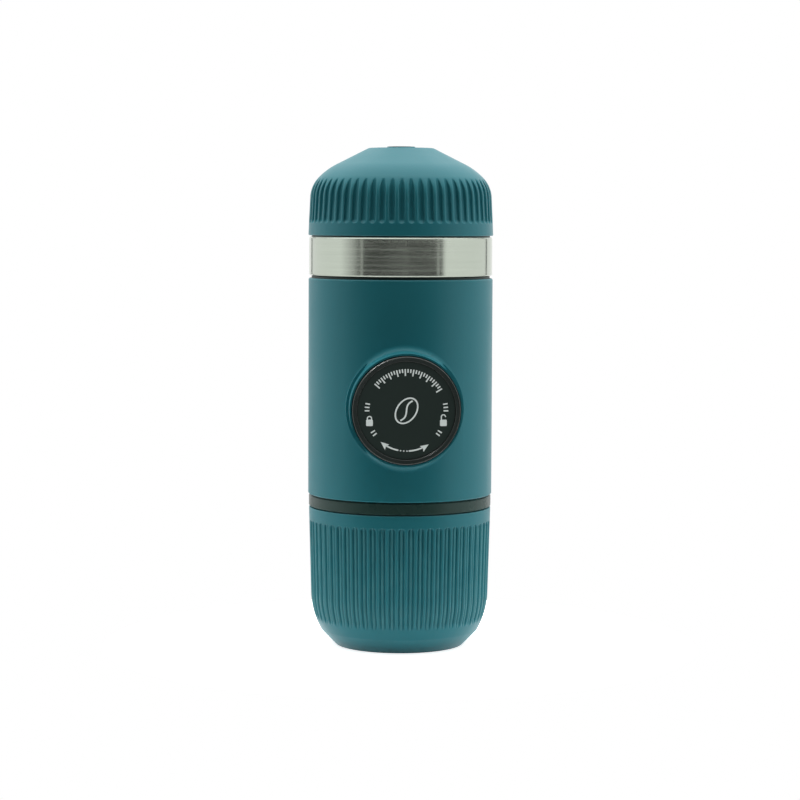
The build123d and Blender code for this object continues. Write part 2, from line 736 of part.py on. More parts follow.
# Pump barrel: cylinder, spring seat, ears for the frame screws and the valve block
with BuildPart() as pump_barrel:
    turned(ring_outline(0, barrel_radius, -BARREL_END, BARREL_MOUTH), PUMP)
    turned(
        ring_outline(
            0, SPRING_SEAT_RADIUS, SPRING_SEAT_FACE - SPRING_SEAT_THICKNESS, SPRING_SEAT_FACE
        ),
        PUMP,
    )
    with BuildSketch(Plane.XY.offset(ear_bottom)):
        with Locations((0, POST_Y)):
            SlotCenterToCenter(2 * POST_X, 2 * POST_RADIUS)
    extrude(amount=EAR_THICKNESS)
    with BuildSketch(Plane.XY.offset(valve_bottom)):
        with Locations((0, valve_y)):
            Rectangle(VALVE_BLOCK_WIDTH, VALVE_BLOCK_DEPTH)
    extrude(amount=2 * VALVE_BLOCK_HALF)
    fillet(
        pump_barrel.edges().filter_by(Axis.Z).group_by(Axis.Y)[-1],
        BARREL_WALL,
    )
    turned(ring_outline(0, BARREL_BORE, -BARREL_END, BARREL_MOUTH), PUMP, Mode.SUBTRACT)
    with BuildSketch(Plane.XY.offset(ear_bottom)):
        with Locations(*post_places):
            Circle(SCREW_HOLE_RADIUS)
    extrude(amount=EAR_THICKNESS, mode=Mode.SUBTRACT)
    # Valve channel: inlet chamber, narrow passage, outlet chamber, and the port to the cylinder
    turned(
        ring_outline(0, VALVE_BORE, valve_bottom, outlet_seat - VALVE_WEB),
        VALVE,
        Mode.SUBTRACT,
    )
    turned(
        ring_outline(0, SEAT_RADIUS, outlet_seat - VALVE_WEB, outlet_seat),
        VALVE,
        Mode.SUBTRACT,
    )
    turned(ring_outline(0, VALVE_BORE, outlet_seat, valve_top), VALVE, Mode.SUBTRACT)
    turned(ring_outline(0, PORT_RADIUS, -valve_y, -BARREL_END), PUMP, Mode.SUBTRACT)
save(pump_barrel.part, "pump_barrel")


def fitting_outline(plug_length):
    """A hose fitting: plug with a valve seat at its inner end, flange, spigot and bore."""
    spigot_start = FITTING_FLANGE_HEIGHT
    spigot_end = spigot_start + SPIGOT_LENGTH
    return [
        (SPIGOT_BORE, -plug_length + SEAT_RADIUS),
        (SEAT_RADIUS, -plug_length + SEAT_RADIUS),
        (SEAT_RADIUS, -plug_length),
        (VALVE_BORE - FIT, -plug_length),
        (VALVE_BORE - FIT, 0),
        (FITTING_FLANGE, 0),
        (FITTING_FLANGE, spigot_start),
        (spigot_radius, spigot_start),
        (spigot_radius, spigot_end),
        (SPIGOT_BORE, spigot_end),
    ]


# Inlet and outlet fittings: the same turned piece, pointing down and pointing up
with BuildPart() as inlet_fitting:
    downwards = Plane(origin=(0, valve_y, valve_bottom), x_dir=(1, 0, 0), z_dir=(0, 1, 0))
    turned(fitting_outline(INLET_PLUG), downwards)
save(inlet_fitting.part, "inlet_fitting")

with BuildPart() as outlet_fitting:
    upwards = Plane(origin=(0, valve_y, valve_top), x_dir=(1, 0, 0), z_dir=(0, -1, 0))
    turned(fitting_outline(OUTLET_PLUG), upwards)
save(outlet_fitting.part, "outlet_fitting")

# Valve balls: each stands just clear of its seat's edge
with BuildPart() as inlet_ball:
    with Locations((0, valve_y, inlet_seat + ball_rise)):
        Sphere(BALL_RADIUS)
save(inlet_ball.part, "inlet_ball")

with BuildPart() as outlet_ball:
    with Locations((0, valve_y, outlet_seat + ball_rise)):
        Sphere(BALL_RADIUS)
save(outlet_ball.part, "outlet_ball")


# Valve springs: each stands between a ball's shoulder and the stop above it
inlet_spring_bottom = inlet_seat + ball_rise + spring_rise
with BuildPart() as inlet_spring:
    with Locations((0, valve_y, inlet_spring_bottom)):
        add(
            coil_spring(
                VALVE_SPRING_RADIUS,
                VALVE_SPRING_WIRE,
                outlet_seat - VALVE_WEB - inlet_spring_bottom,
                VALVE_SPRING_TURNS,
            )
        )
save(inlet_spring.part, "inlet_spring")

outlet_spring_bottom = outlet_seat + ball_rise + spring_rise
with BuildPart() as outlet_spring:
    with Locations((0, valve_y, outlet_spring_bottom)):
        add(
            coil_spring(
                VALVE_SPRING_RADIUS,
                VALVE_SPRING_WIRE,
                outlet_plug_bottom - outlet_spring_bottom,
                VALVE_SPRING_TURNS,
            )
        )
save(outlet_spring.part, "outlet_spring")

# Tubes: short lengths of hose pushed over the spigots
with BuildPart() as inlet_tube:
    turned(
        ring_outline(
            TUBE_BORE, tube_radius, spigot_bottom, valve_bottom - FITTING_FLANGE_HEIGHT
        ),
        VALVE,
    )
save(inlet_tube.part, "inlet_tube")

with BuildPart() as outlet_tube:
    turned(
        ring_outline(TUBE_BORE, tube_radius, valve_top + FITTING_FLANGE_HEIGHT, tube_top),
        VALVE,
    )
save(outlet_tube.part, "outlet_tube")

# Piston rod: its head carries the seal in a groove, its front end takes the knob's screw
with BuildPart() as piston_rod:
    head_back = -BARREL_END + PISTON_SPACE
    head_front = head_back + PISTON_LENGTH
    head_disc = BARREL_BORE - RUN_GAP
    knob_screw_hole = SCREW_RADIUS + FIT
    turned(
        [
            (0, head_back),
            (head_disc, head_back),
            (head_disc, head_back + PISTON_LAND),
            (head_disc - SEAL_DEPTH, head_back + PISTON_LAND),
            (head_disc - SEAL_DEPTH, head_front - PISTON_LAND),
            (head_disc, head_front - PISTON_LAND),
            (head_disc, head_front),
            (ROD_RADIUS, head_front),
            (ROD_RADIUS, web_back),
            (knob_screw_hole, web_back),
            (knob_screw_hole, web_back - KNOB_SCREW_LENGTH),
            (0, web_back - KNOB_SCREW_LENGTH),
        ],
        PUMP,
    )
save(piston_rod.part, "piston_rod")

# Piston seal: a soft ring in the head's groove
with BuildPart() as piston_seal:
    turned(
        ring_outline(
            head_disc - SEAL_DEPTH + FIT,
            BARREL_BORE - FIT,
            head_back + PISTON_LAND + FIT,
            head_front - PISTON_LAND - FIT,
        ),
        PUMP,
    )
save(piston_seal.part, "piston_seal")

# Return spring: from the barrel's seat to the back of the knob
with BuildPart() as return_spring:
    with Locations(FRONT.offset(SPRING_SEAT_FACE)):
        add(coil_spring(SPRING_RADIUS, SPRING_WIRE, web_back - SPRING_SEAT_FACE, SPRING_TURNS))
save(return_spring.part, "return_spring")

# Pump knob: a cap whose skirt slides in the boss, with a bevelled bezel round its face
with BuildPart() as pump_knob:
    bezel_inner = KNOB_RADIUS - BEZEL_WIDTH
    turned(
        [
            (SCREW_RADIUS + FIT, web_back),
            (KNOB_RADIUS - KNOB_WALL, web_back),
            (KNOB_RADIUS - KNOB_WALL, knob_end),
            (KNOB_RADIUS, knob_end),
            (KNOB_RADIUS, knob_front - BEZEL_BEVEL),
            (KNOB_RADIUS - BEZEL_BEVEL, knob_front),
            (bezel_inner + FACE_SINK, knob_front),
            (bezel_inner, face_front),
            (bezel_inner, face_back),
            (KNOB_SCREW_HEAD, face_back),
            (KNOB_SCREW_HEAD, face_back - KNOB_SCREW_HEAD_HEIGHT),
            (SCREW_RADIUS + FIT, face_back - KNOB_SCREW_HEAD_HEIGHT),
        ],
        PUMP,
    )
save(pump_knob.part, "pump_knob")

# Knob face: the printed disc inside the bezel
with BuildPart() as knob_face:
    turned(ring_outline(0, bezel_inner - FIT, face_back, face_front), PUMP)
save(knob_face.part, "knob_face")

# Knob screw: holds the knob on the rod and lets it turn there
with BuildPart() as knob_screw:
    knob_screw_seat = face_back - KNOB_SCREW_HEAD_HEIGHT
    turned(
        [
            (0, web_back - KNOB_SCREW_LENGTH + EDGE),
            (SCREW_RADIUS, web_back - KNOB_SCREW_LENGTH + EDGE),
            (SCREW_RADIUS, knob_screw_seat),
            (KNOB_SCREW_HEAD - FIT, knob_screw_seat),
            (KNOB_SCREW_HEAD - FIT, face_back - FIT),
            (0, face_back - FIT),
        ],
        PUMP,
    )
    with BuildSketch(FRONT.offset(face_back - FIT)):
        Rectangle(2 * KNOB_SCREW_HEAD, SCREW_SLOT)
        Rectangle(SCREW_SLOT, 2 * KNOB_SCREW_HEAD)
    extrude(amount=-SCREW_SLOT, mode=Mode.SUBTRACT)
save(knob_screw.part, "knob_screw")

# Basket gasket: between the shower screen and the basket's flange
with BuildPart() as basket_gasket:
    turned(
        ring_outline(
            basket_flange_radius - BASKET_GASKET_WIDTH,
            basket_flange_radius,
            screen_top,
            basket_bottom,
        )
    )
save(basket_gasket.part, "basket_gasket")

# Filter basket: a drawn steel cup, open towards the screen, its end full of fine holes
with BuildPart() as filter_basket:
    turned(ring_outline(0, basket_radius, basket_bottom, basket_top))
    fillet(filter_basket.faces().sort_by(Axis.Z)[-1].edges(), BASKET_CORNER)
    turned(
        ring_outline(0, basket_radius - BASKET_WALL, basket_bottom, basket_top - BASKET_WALL),
        mode=Mode.SUBTRACT,
    )
    turned(
        ring_outline(
            basket_radius - BASKET_WALL,
            basket_flange_radius,
            basket_bottom,
            basket_bottom + BASKET_FLANGE_HEIGHT,
        )
    )
    with BuildSketch(Plane.XY.offset(basket_top)):
        Circle(BASKET_HOLE)
        hole_rings(BASKET_HOLE, BASKET_RINGS, BASKET_RING_PITCH, Mode.ADD)
    extrude(amount=-BASKET_WALL, mode=Mode.SUBTRACT)
save(filter_basket.part, "filter_basket")

# Head gasket: seals the basket's end against the outlet head's deck
with BuildPart() as head_gasket:
    head_gasket_outer = basket_radius - BASKET_CORNER - FIT
    head_gasket_inner = head_gasket_outer - HEAD_GASKET_WIDTH
    turned(ring_outline(head_gasket_inner, head_gasket_outer, basket_top, deck_bottom))
save(head_gasket.part, "head_gasket")

# Outlet head: threaded ring, deck with funnel and spout, and the collar that holds the cup
with BuildPart() as outlet_head:
    spout_top = cup_rim + SPOUT_HEIGHT
    oring_middle = cup_rim + ORING_RISE
    oring_bottom = oring_middle - ORING_GROOVE_WIDTH / 2
    oring_top = oring_middle + ORING_GROOVE_WIDTH / 2
    turned(
        [
            (head_bore, head_bottom),
            (head_radius, head_bottom),
            (head_radius, cup_rim),
            (cup_collar, cup_rim),
            (cup_collar, oring_bottom),
            (cup_collar - ORING_GROOVE_DEPTH, oring_bottom),
            (cup_collar - ORING_GROOVE_DEPTH, oring_top),
            (cup_collar, oring_top),
            (cup_collar, cup_rim + COLLAR_HEIGHT - EDGE),
            (cup_collar - EDGE, cup_rim + COLLAR_HEIGHT),
            (cup_collar - COLLAR_WALL, cup_rim + COLLAR_HEIGHT),
            (cup_collar - COLLAR_WALL, cup_rim),
            (SPOUT_BASE, cup_rim),
            (SPOUT_NECK, cup_rim + SPOUT_CONE_HEIGHT),
            (SPOUT_NECK, spout_top),
            (TIP_SOCKET, spout_top),
            (TIP_SOCKET, spout_top - TIP_SOCKET_DEPTH),
            (SPOUT_BORE, spout_top - TIP_SOCKET_DEPTH),
            (SPOUT_BORE, deck_bottom + FUNNEL_HEIGHT),
            (head_gasket_inner - FUNNEL_INSET, deck_bottom),
            (head_bore, deck_bottom),
        ]
    )
    with PolarLocations(0, THREAD_STARTS):
        add(head_ridge)
save(outlet_head.part, "outlet_head")

# Steel band: a brushed sleeve round the outlet head, bevelled at both ends
with BuildPart() as steel_band:
    turned(
        [
            (steel_radius - STEEL_WALL, head_bottom),
            (steel_radius - EDGE, head_bottom),
            (steel_radius, head_bottom + EDGE),
            (steel_radius, steel_top - EDGE),
            (steel_radius - EDGE, steel_top),
            (steel_radius - STEEL_WALL, steel_top),
        ]
    )
save(steel_band.part, "steel_band")

# Spout tip: a short nozzle plugged into the spout
with BuildPart() as spout_tip:
    turned(
        [
            (SPOUT_BORE, spout_top - TIP_SOCKET_DEPTH),
            (TIP_SOCKET - FIT, spout_top - TIP_SOCKET_DEPTH),
            (TIP_SOCKET - FIT, spout_top),
            (TIP_FLANGE, spout_top),
            (TIP_FLANGE, spout_top + TIP_FLANGE_HEIGHT),
            (TIP_RADIUS, spout_top + TIP_FLANGE_HEIGHT),
            (TIP_END_RADIUS, spout_top + TIP_LENGTH),
            (SPOUT_BORE, spout_top + TIP_LENGTH),
        ]
    )
save(spout_tip.part, "spout_tip")

# Cup o-ring: grips the cup's socket
with BuildPart() as cup_oring:
    with BuildSketch(Plane.XZ):
        with Locations((cup_socket - FIT - ORING_RADIUS, oring_middle)):
            Circle(ORING_RADIUS)
    revolve(axis=Axis.Z)
save(cup_oring.part, "cup_oring")


def inset_end(curve, wall):
    """The end of an upward outline, moved square to it by the wall's thickness, inwards."""
    way = curve % 1
    return curve @ 1 + Vector(-way.Y, way.X, 0) * wall


# Cup: the ribbed dome, with the socket that slips over the outlet head's collar
with BuildPart() as cup:
    with BuildSketch(Plane.XZ):
        side_top = (cup_radius - CUP_TAPER, cup_rim + CUP_SIDE)
        shoulder_top = (side_top[0] - SHOULDER_IN, side_top[1] + SHOULDER_UP)
        haunch_top = (shoulder_top[0] - HAUNCH_IN, shoulder_top[1] + HAUNCH_UP)
        with BuildLine():
            side = Line((cup_radius, cup_rim + EDGE), side_top)
            cup_shoulder = TangentArc(side_top, shoulder_top, tangent=side % 1)
            haunch = TangentArc(shoulder_top, haunch_top, tangent=cup_shoulder % 1)
            dome = Line(haunch_top, (PLATEAU_RADIUS, cup_top))
            Polyline(
                (PLATEAU_RADIUS, cup_top),
                (0, cup_top),
                (0, cup_rim),
                (cup_radius - EDGE, cup_rim),
                (cup_radius, cup_rim + EDGE),
            )
        make_face()
        with BuildLine():
            inside_wall = CUP_GROOVE_DEPTH + CUP_WALL
            socket_top = (cup_socket, cup_rim + CUP_SOCKET_DEPTH)
            inner_foot = (cup_radius - inside_wall, socket_top[1])
            inner_side = Line(inner_foot, (side_top[0] - inside_wall, side_top[1]))
            inner_shoulder = TangentArc(
                inner_side @ 1, inset_end(cup_shoulder, CUP_WALL), tangent=inner_side % 1
            )
            Polyline(
                inner_shoulder @ 1,
                inset_end(haunch, CUP_WALL),
                inset_end(dome, CUP_WALL),
                (0, (inset_end(dome, CUP_WALL)).Y),
                (0, cup_rim),
                (cup_socket, cup_rim),
                socket_top,
                inner_foot,
            )
        make_face(mode=Mode.SUBTRACT)
    revolve(axis=Axis.Z)
    with PolarLocations(0, RIB_COUNT, start_angle=rib_pitch / 2):
        add(cup_groove.part, mode=Mode.SUBTRACT)
    with Locations((0, 0, cup_top)):
        Cylinder(
            CUP_BOSS_RADIUS,
            CUP_BOSS_HEIGHT,
            align=(Align.CENTER, Align.CENTER, Align.MIN),
        )
save(cup.part, "cup")
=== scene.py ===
# %% [markdown]
# # A portable espresso maker
# The real object is a hand-pumped coffee maker for travelling. A ribbed water tank stands
# at the bottom, a plain tube with a push knob holds the pump, a brushed steel band marks
# the brewing head, and a ribbed domed cup closes the top.
#
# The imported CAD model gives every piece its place. Here it gets its looks: pieces whose
# fine shape matters are worked out again as surfaces with numpy, and the others keep
# their CAD mesh and get a better material. The script reads nothing but that model.

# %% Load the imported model
import json
import math

import bmesh
import bpy
import numpy as np
from mathutils import Matrix, Vector


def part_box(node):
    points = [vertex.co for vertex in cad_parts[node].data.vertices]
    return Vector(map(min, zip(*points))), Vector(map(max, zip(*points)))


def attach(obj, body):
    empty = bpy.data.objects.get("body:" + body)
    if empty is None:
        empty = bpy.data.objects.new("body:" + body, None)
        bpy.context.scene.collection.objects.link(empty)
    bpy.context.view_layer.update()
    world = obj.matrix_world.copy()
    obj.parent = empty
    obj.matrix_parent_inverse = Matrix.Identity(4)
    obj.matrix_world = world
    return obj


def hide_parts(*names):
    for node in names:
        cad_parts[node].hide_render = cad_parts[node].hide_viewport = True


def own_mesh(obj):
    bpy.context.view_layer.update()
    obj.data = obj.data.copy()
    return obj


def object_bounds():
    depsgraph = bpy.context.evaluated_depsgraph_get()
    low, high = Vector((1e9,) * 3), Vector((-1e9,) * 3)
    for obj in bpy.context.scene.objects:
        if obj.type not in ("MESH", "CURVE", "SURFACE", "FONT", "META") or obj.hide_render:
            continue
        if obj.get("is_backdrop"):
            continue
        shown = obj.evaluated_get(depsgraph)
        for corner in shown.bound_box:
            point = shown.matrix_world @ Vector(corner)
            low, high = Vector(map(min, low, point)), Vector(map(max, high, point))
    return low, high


MM = 0.001

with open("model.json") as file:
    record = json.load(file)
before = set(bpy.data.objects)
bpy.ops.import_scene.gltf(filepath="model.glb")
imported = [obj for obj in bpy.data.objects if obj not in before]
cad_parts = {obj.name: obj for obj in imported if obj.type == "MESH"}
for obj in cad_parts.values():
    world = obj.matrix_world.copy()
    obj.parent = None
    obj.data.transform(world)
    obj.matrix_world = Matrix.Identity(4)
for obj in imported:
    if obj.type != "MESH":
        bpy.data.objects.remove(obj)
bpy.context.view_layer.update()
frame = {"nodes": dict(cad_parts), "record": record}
nodes = frame["nodes"]

# %% [markdown]
# ## The camera
# The picture was taken from about 0.8 m away with a long lens, a little to the left of
# the knob and above it. The camera looks at the object's own axis, because that lies in
# the middle of the picture. It is placed by its distance, height and turn round the
# object, so each of them can be corrected alone. The picture's upright lines hardly lean,
# so part of the downward look is lens shift rather than tilt.


# %% Camera
CAMERA_DISTANCE = 0.8341
CAMERA_HEIGHT = 0.1439
CAMERA_TURN = math.radians(-3.1)
CAMERA_ROLL = math.radians(0.25)
CAMERA_LENS = 111.3
LENS_SHIFT = -0.04
SENSOR_WIDTH = 36.0
LOOK_AT = (-0.00008, 0, 0.0935)


def aimed(place, gaze):
    """The matrix of a camera or lamp that stands at place and looks along gaze."""
    return Matrix.Translation(place) @ gaze.to_track_quat("-Z", "Y").to_matrix().to_4x4()


camera = bpy.data.objects.new("camera", bpy.data.cameras.new("camera"))
camera.data.lens = CAMERA_LENS
camera.data.sensor_width = SENSOR_WIDTH
camera.data.shift_y = LENS_SHIFT
camera_place = Vector(
    (
        CAMERA_DISTANCE * math.sin(CAMERA_TURN),
        -CAMERA_DISTANCE * math.cos(CAMERA_TURN),
        CAMERA_HEIGHT,
    )
)
gaze = Vector(LOOK_AT) - camera_place
camera.matrix_world = aimed(camera_place, gaze) @ Matrix.Rotation(CAMERA_ROLL, 4, "Z")
bpy.context.scene.collection.objects.link(camera)
bpy.context.scene.camera = camera
bpy.context.scene.view_settings.view_transform = "Standard"
print("camera tilt in degrees:", round(math.degrees(math.asin(-gaze.z / gaze.length)), 2))

# %% [markdown]
# ## Helpers for shader nodes
# Every material below is a small net of nodes. `node` adds one and fills its sockets: a
# value that is itself an output is linked, any other value is typed in. `varied` lets a
# value swing with a noise. `new_group` makes a group with named sockets, so one effect
# serves several materials.


# %% Node helpers
def node(tree, kind, inputs=None, **settings):
    """Add a shader node, set its options, and link or set its inputs."""
    made = tree.nodes.new("ShaderNode" + kind)
    for name, value in settings.items():
        setattr(made, name, value)
    for name, value in (inputs or {}).items():
        if isinstance(value, bpy.types.NodeSocket):
            tree.links.new(value, made.inputs[name])
        else:
            made.inputs[name].default_value = value
    return made


def varied(tree, noise, middle, swing, reach=0.2):
    """A value that swings round its middle as the noise swings round a half.

    It is middle - swing where the noise is 0.5 - reach, and middle + swing where the noise
    is 0.5 + reach.
    """
    return node(
        tree, "MapRange",
        {"Value": noise, "From Min": 0.5 - reach, "From Max": 0.5 + reach,
         "To Min": middle - swing, "To Max": middle + swing},
    ).outputs[0]


def new_group(name, inputs, outputs):
    """Make a node group: its tree, its input sockets and its output sockets by name."""
    tree = bpy.data.node_groups.new(name, "ShaderNodeTree")
    for label, kind in inputs:
        tree.interface.new_socket(label, in_out="INPUT", socket_type="NodeSocket" + kind)
    for label, kind in outputs:
        tree.interface.new_socket(label, in_out="OUTPUT", socket_type="NodeSocket" + kind)
    return tree, tree.nodes.new("NodeGroupInput").outputs, tree.nodes.new("NodeGroupOutput").inputs


# %% [markdown]
# ## The studio
# The object stands in a white tent that is open and dark only towards the camera. That
# is why the steel shows two bright sides and a dark middle, and why the plastic is deep
# in front and pale at its edges. The tent's brightness is a ramp over the azimuth, which
# is 0 towards the viewer and grows to the right: the opening with a faint gleam in its
# middle, the pale frame on either side of it, and two seams in the cloth behind. Overhead
# the cloth closes over all of it, and a softbox hangs above the object, a little behind.
#
# Steel and gloss show the tent itself, so mirror-like rays find it arranged for them. The
# white begins at a lower angle, above as well as below the horizon, so that every turned
# edge shows it. It is brighter above than below, and the softbox is no brighter than it,
# so that the steel doesn't burn out. The camera always sees plain white, also from
# behind, where it would look at the opening.


# %% World: a white tent with a dark opening in front
TENT_LEVELS = (
    (-156, 1.0), (-154.5, 0.1), (-151.5, 0.1), (-150, 1.0),
    (-84, 1.0), (-67, 0.55), (-55, 0.10), (-53, 0.7), (-51, 0.05),
    (-1, 0.05), (2, 0.10), (5, 0.05),
    (43.3, 0.05), (45, 0.7), (46.7, 0.05), (49, 0.05), (55, 1.0),
    (130.5, 1.0), (132.5, 0.1), (134.5, 0.1), (136.5, 1.0),
)
OVERHEAD = (0.80, 0.95)  # where the cloth closes, as the upward part of a ray of length 1
OVERHEAD_LEVEL = 0.9
MIRRORED_OVERHEAD = (0.48, 0.64)
MIRRORED_ABOVE = 1.8
MIRRORED_BELOW = 1.15
MIRRORED_CHANGE = 0.2  # how far above and below the horizon one goes over into the other
SOFTBOX_WAY = (0.0, 0.22, 0.975)
SOFTBOX_EDGE = (0.72, 0.88)  # where it fades out, as the cosine of the angle to its middle
SOFTBOX_LEVEL = 3.0


def by_ray(plain, mirrored):
    """The first value for ordinary rays, the second for mirror-like ones."""
    return node(sky, "Mix", {"Factor": light["Is Glossy Ray"], "A": plain, "B": mirrored}).outputs[0]


world = bpy.data.worlds.new("tent")
bpy.context.scene.world = world
world.use_nodes = True
sky = world.node_tree
sky.nodes.clear()
light = node(sky, "LightPath").outputs
direction = node(sky, "TexCoord").outputs["Generated"]
ways = node(sky, "SeparateXYZ", {"Vector": direction})
frontward = node(sky, "Math", {0: ways.outputs["Y"], 1: -1.0}, operation="MULTIPLY")
azimuth = node(sky, "Math", {0: ways.outputs["X"], 1: frontward.outputs[0]}, operation="ARCTAN2")
along = node(sky, "MapRange", {"Value": azimuth.outputs[0], "From Min": -math.pi, "From Max": math.pi})
cloth = node(sky, "ValToRGB", {"Fac": along.outputs[0]})
stops = cloth.color_ramp.elements
stops.remove(stops[1])
stops[0].color = (1, 1, 1, 1)
for degrees, level in TENT_LEVELS:
    stops.new((degrees + 180) / 360).color = (level, level, level, 1)
mirrored_level = node(
    sky, "MapRange",
    {"Value": ways.outputs["Z"], "From Min": -MIRRORED_CHANGE, "From Max": MIRRORED_CHANGE,
     "To Min": MIRRORED_BELOW, "To Max": MIRRORED_ABOVE},
)
steepness = node(sky, "Math", {0: ways.outputs["Z"]}, operation="ABSOLUTE")
upwards = node(
    sky, "MapRange",
    {"Value": by_ray(ways.outputs["Z"], steepness.outputs[0]),
     "From Min": by_ray(OVERHEAD[0], MIRRORED_OVERHEAD[0]),
     "From Max": by_ray(OVERHEAD[1], MIRRORED_OVERHEAD[1])},
    interpolation_type="SMOOTHSTEP",
)
overhead = by_ray(OVERHEAD_LEVEL, mirrored_level.outputs[0])
closed = node(sky, "Mix", {"Factor": upwards.outputs[0], "A": cloth.outputs["Color"], "B": overhead})
towards_box = node(sky, "VectorMath", {0: direction, 1: SOFTBOX_WAY}, operation="DOT_PRODUCT")
in_box = node(
    sky, "MapRange",
    {"Value": towards_box.outputs["Value"], "From Min": SOFTBOX_EDGE[0], "From Max": SOFTBOX_EDGE[1]},
    interpolation_type="SMOOTHSTEP",
)
box_level = by_ray(SOFTBOX_LEVEL, MIRRORED_ABOVE)
lit = node(sky, "Mix", {"Factor": in_box.outputs[0], "A": closed.outputs[0], "B": box_level})
seen = node(sky, "Mix", {"Factor": light["Is Camera Ray"], "A": lit.outputs[0], "B": 1.0})
tent = node(sky, "Background", {"Color": (1, 1, 1, 1), "Strength": seen.outputs[0]})
node(sky, "OutputWorld", {"Surface": tent.outputs[0]})
print("stops in the tent's ramp:", len(stops))

# %% [markdown]
# The floor is a small white disc that throws light up from below. To the camera, in
# mirrors and through glass it also glows, so that it melts into the white background,
# while its lit part still carries the object's soft shadow. From below it can be looked
# through.

# %% Floor
FLOOR_RADIUS = 0.10
FLOOR_CORNERS = 64
FLOOR_WHITE = 0.9
FLOOR_GLOW = 0.80

floor_material = bpy.data.materials.new("white_floor")
floor_material.use_nodes = True
paper = floor_material.node_tree
paper.nodes.clear()
matte = node(paper, "BsdfDiffuse", {"Color": (FLOOR_WHITE, FLOOR_WHITE, FLOOR_WHITE, 1)})
path = node(paper, "LightPath").outputs
watched = path["Is Camera Ray"]
for kind in ("Is Glossy Ray", "Is Transmission Ray"):
    watched = node(paper, "Math", {0: watched, 1: path[kind]}, operation="MAXIMUM").outputs[0]
glow_level = node(paper, "Math", {0: watched, 1: FLOOR_GLOW}, operation="MULTIPLY")
glow = node(paper, "Emission", {"Color": (1, 1, 1, 1), "Strength": glow_level.outputs[0]})
both = node(paper, "AddShader", {0: matte.outputs[0], 1: glow.outputs[0]})
from_below = node(paper, "NewGeometry").outputs["Backfacing"]
clear = node(paper, "BsdfTransparent")
shown = node(paper, "MixShader", {0: from_below, 1: both.outputs[0], 2: clear.outputs[0]})
node(paper, "OutputMaterial", {"Surface": shown.outputs[0]})

turn = np.linspace(0, 2 * math.pi, FLOOR_CORNERS, endpoint=False)
floor_mesh = bpy.data.meshes.new("floor")
floor_mesh.from_pydata(
    np.stack((FLOOR_RADIUS * np.cos(turn), FLOOR_RADIUS * np.sin(turn), 0 * turn), axis=1),
    [],
    [list(range(FLOOR_CORNERS))],
)
floor_mesh.materials.append(floor_material)
floor = bpy.data.objects.new("floor", floor_mesh)
bpy.context.scene.collection.objects.link(floor)
floor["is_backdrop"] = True
print("floor radius in m:", FLOOR_RADIUS)

# %% [markdown]
# A spotlight that is nearer than the camera, and above it, picks out the knob. So the
# print can be read although the knob faces the tent's dark opening. The spotlight lights
# nothing but what is in its collection, which the knob's pieces join when they are made.

# %% Spotlight on the knob
PUMP_HEIGHT = 82.0
KNOB_FRONT = 39.0
SPOT_FROM = Vector((-0.098, -0.620, 0.168))  # seen from the middle of the knob's front
SPOT_POWER = 7.0
SPOT_CONE = math.radians(8.0)

knob_spot = bpy.data.objects.new("knob_spot", bpy.data.lights.new("knob_spot", "SPOT"))
knob_spot.data.energy = SPOT_POWER
knob_spot.data.spot_size = SPOT_CONE
knob_spot.data.spot_blend = 0.5
knob_spot.data.shadow_soft_size = 0.004
knob_middle = Vector((0, -KNOB_FRONT, PUMP_HEIGHT)) * MM
knob_spot.matrix_world = aimed(knob_middle + SPOT_FROM, -SPOT_FROM)
bpy.context.scene.collection.objects.link(knob_spot)
spotlit = bpy.data.collections.new("spotlit")
knob_spot.light_linking.receiver_collection = spotlit
print("spotlight's distance in m:", round(SPOT_FROM.length, 2))

# %% [markdown]
# ## Finishes
# Moulded plastic is never quite smooth: the mould leaves a fine grain, and hands leave
# faint smudges that change how broad the highlights are. One node group makes both from
# noise in object space, where a millimetre stays a millimetre.

# %% Group: moulded grain
grain_tree, grain_in, grain_out = new_group(
    "moulded_grain",
    [("Position", "Vector"), ("Fineness", "Float"), ("Depth", "Float")],
    [("Normal", "Vector"), ("Smudge", "Float")],
)
grain_noise = node(
    grain_tree, "TexNoise",
    {"Vector": grain_in["Position"], "Scale": grain_in["Fineness"], "Detail": 3.0},
)
grain_bump = node(
    grain_tree, "Bump",
    {"Height": grain_noise.outputs[0], "Distance": grain_in["Depth"], "Strength": 1.0},
)
smudge_noise = node(
    grain_tree, "TexNoise",
    {"Vector": grain_in["Position"], "Scale": 55.0, "Detail": 4.0, "Roughness": 0.6},
)
grain_tree.links.new(grain_bump.outputs[0], grain_out["Normal"])
grain_tree.links.new(smudge_noise.outputs[0], grain_out["Smudge"])

# %% [markdown]
# Sharp edges are paler: partly wear from handling, partly a painted highlight where they
# would catch the light. Every surface made below stores how sharply it bends at each point
# as an attribute named bend. The group turns that number into a patchy mask.

# %% Group: worn edges with a painted highlight
edge_wear_highlight_tree, edge_wear_highlight_in, edge_wear_highlight_out = new_group(
    "worn_edges_painted_highlight",
    [("Position", "Vector"), ("Bend", "Float"), ("Threshold", "Float")],
    [("Mask", "Float")],
)
patchy = node(edge_wear_highlight_tree, "TexNoise", {"Vector": edge_wear_highlight_in["Position"], "Scale": 140.0, "Detail": 2.0})
full_edge_tint_from = node(edge_wear_highlight_tree, "Math", {0: edge_wear_highlight_in["Threshold"], 1: 0.5}, operation="ADD")
# the mask paints a highlight along sharp edges, together with their wear
edge_mask = node(
    edge_wear_highlight_tree, "MapRange",
    {"Value": edge_wear_highlight_in["Bend"], "From Min": edge_wear_highlight_in["Threshold"], "From Max": full_edge_tint_from.outputs[0]},
    interpolation_type="SMOOTHSTEP",
)
strength = varied(edge_wear_highlight_tree, patchy.outputs[0], 0.65, 0.20, reach=0.15)
edge_wear_highlight_mask = node(edge_wear_highlight_tree, "Math", {0: edge_mask.outputs[0], 1: strength}, operation="MULTIPLY")
edge_wear_highlight_tree.links.new(edge_wear_highlight_mask.outputs[0], edge_wear_highlight_out["Mask"])
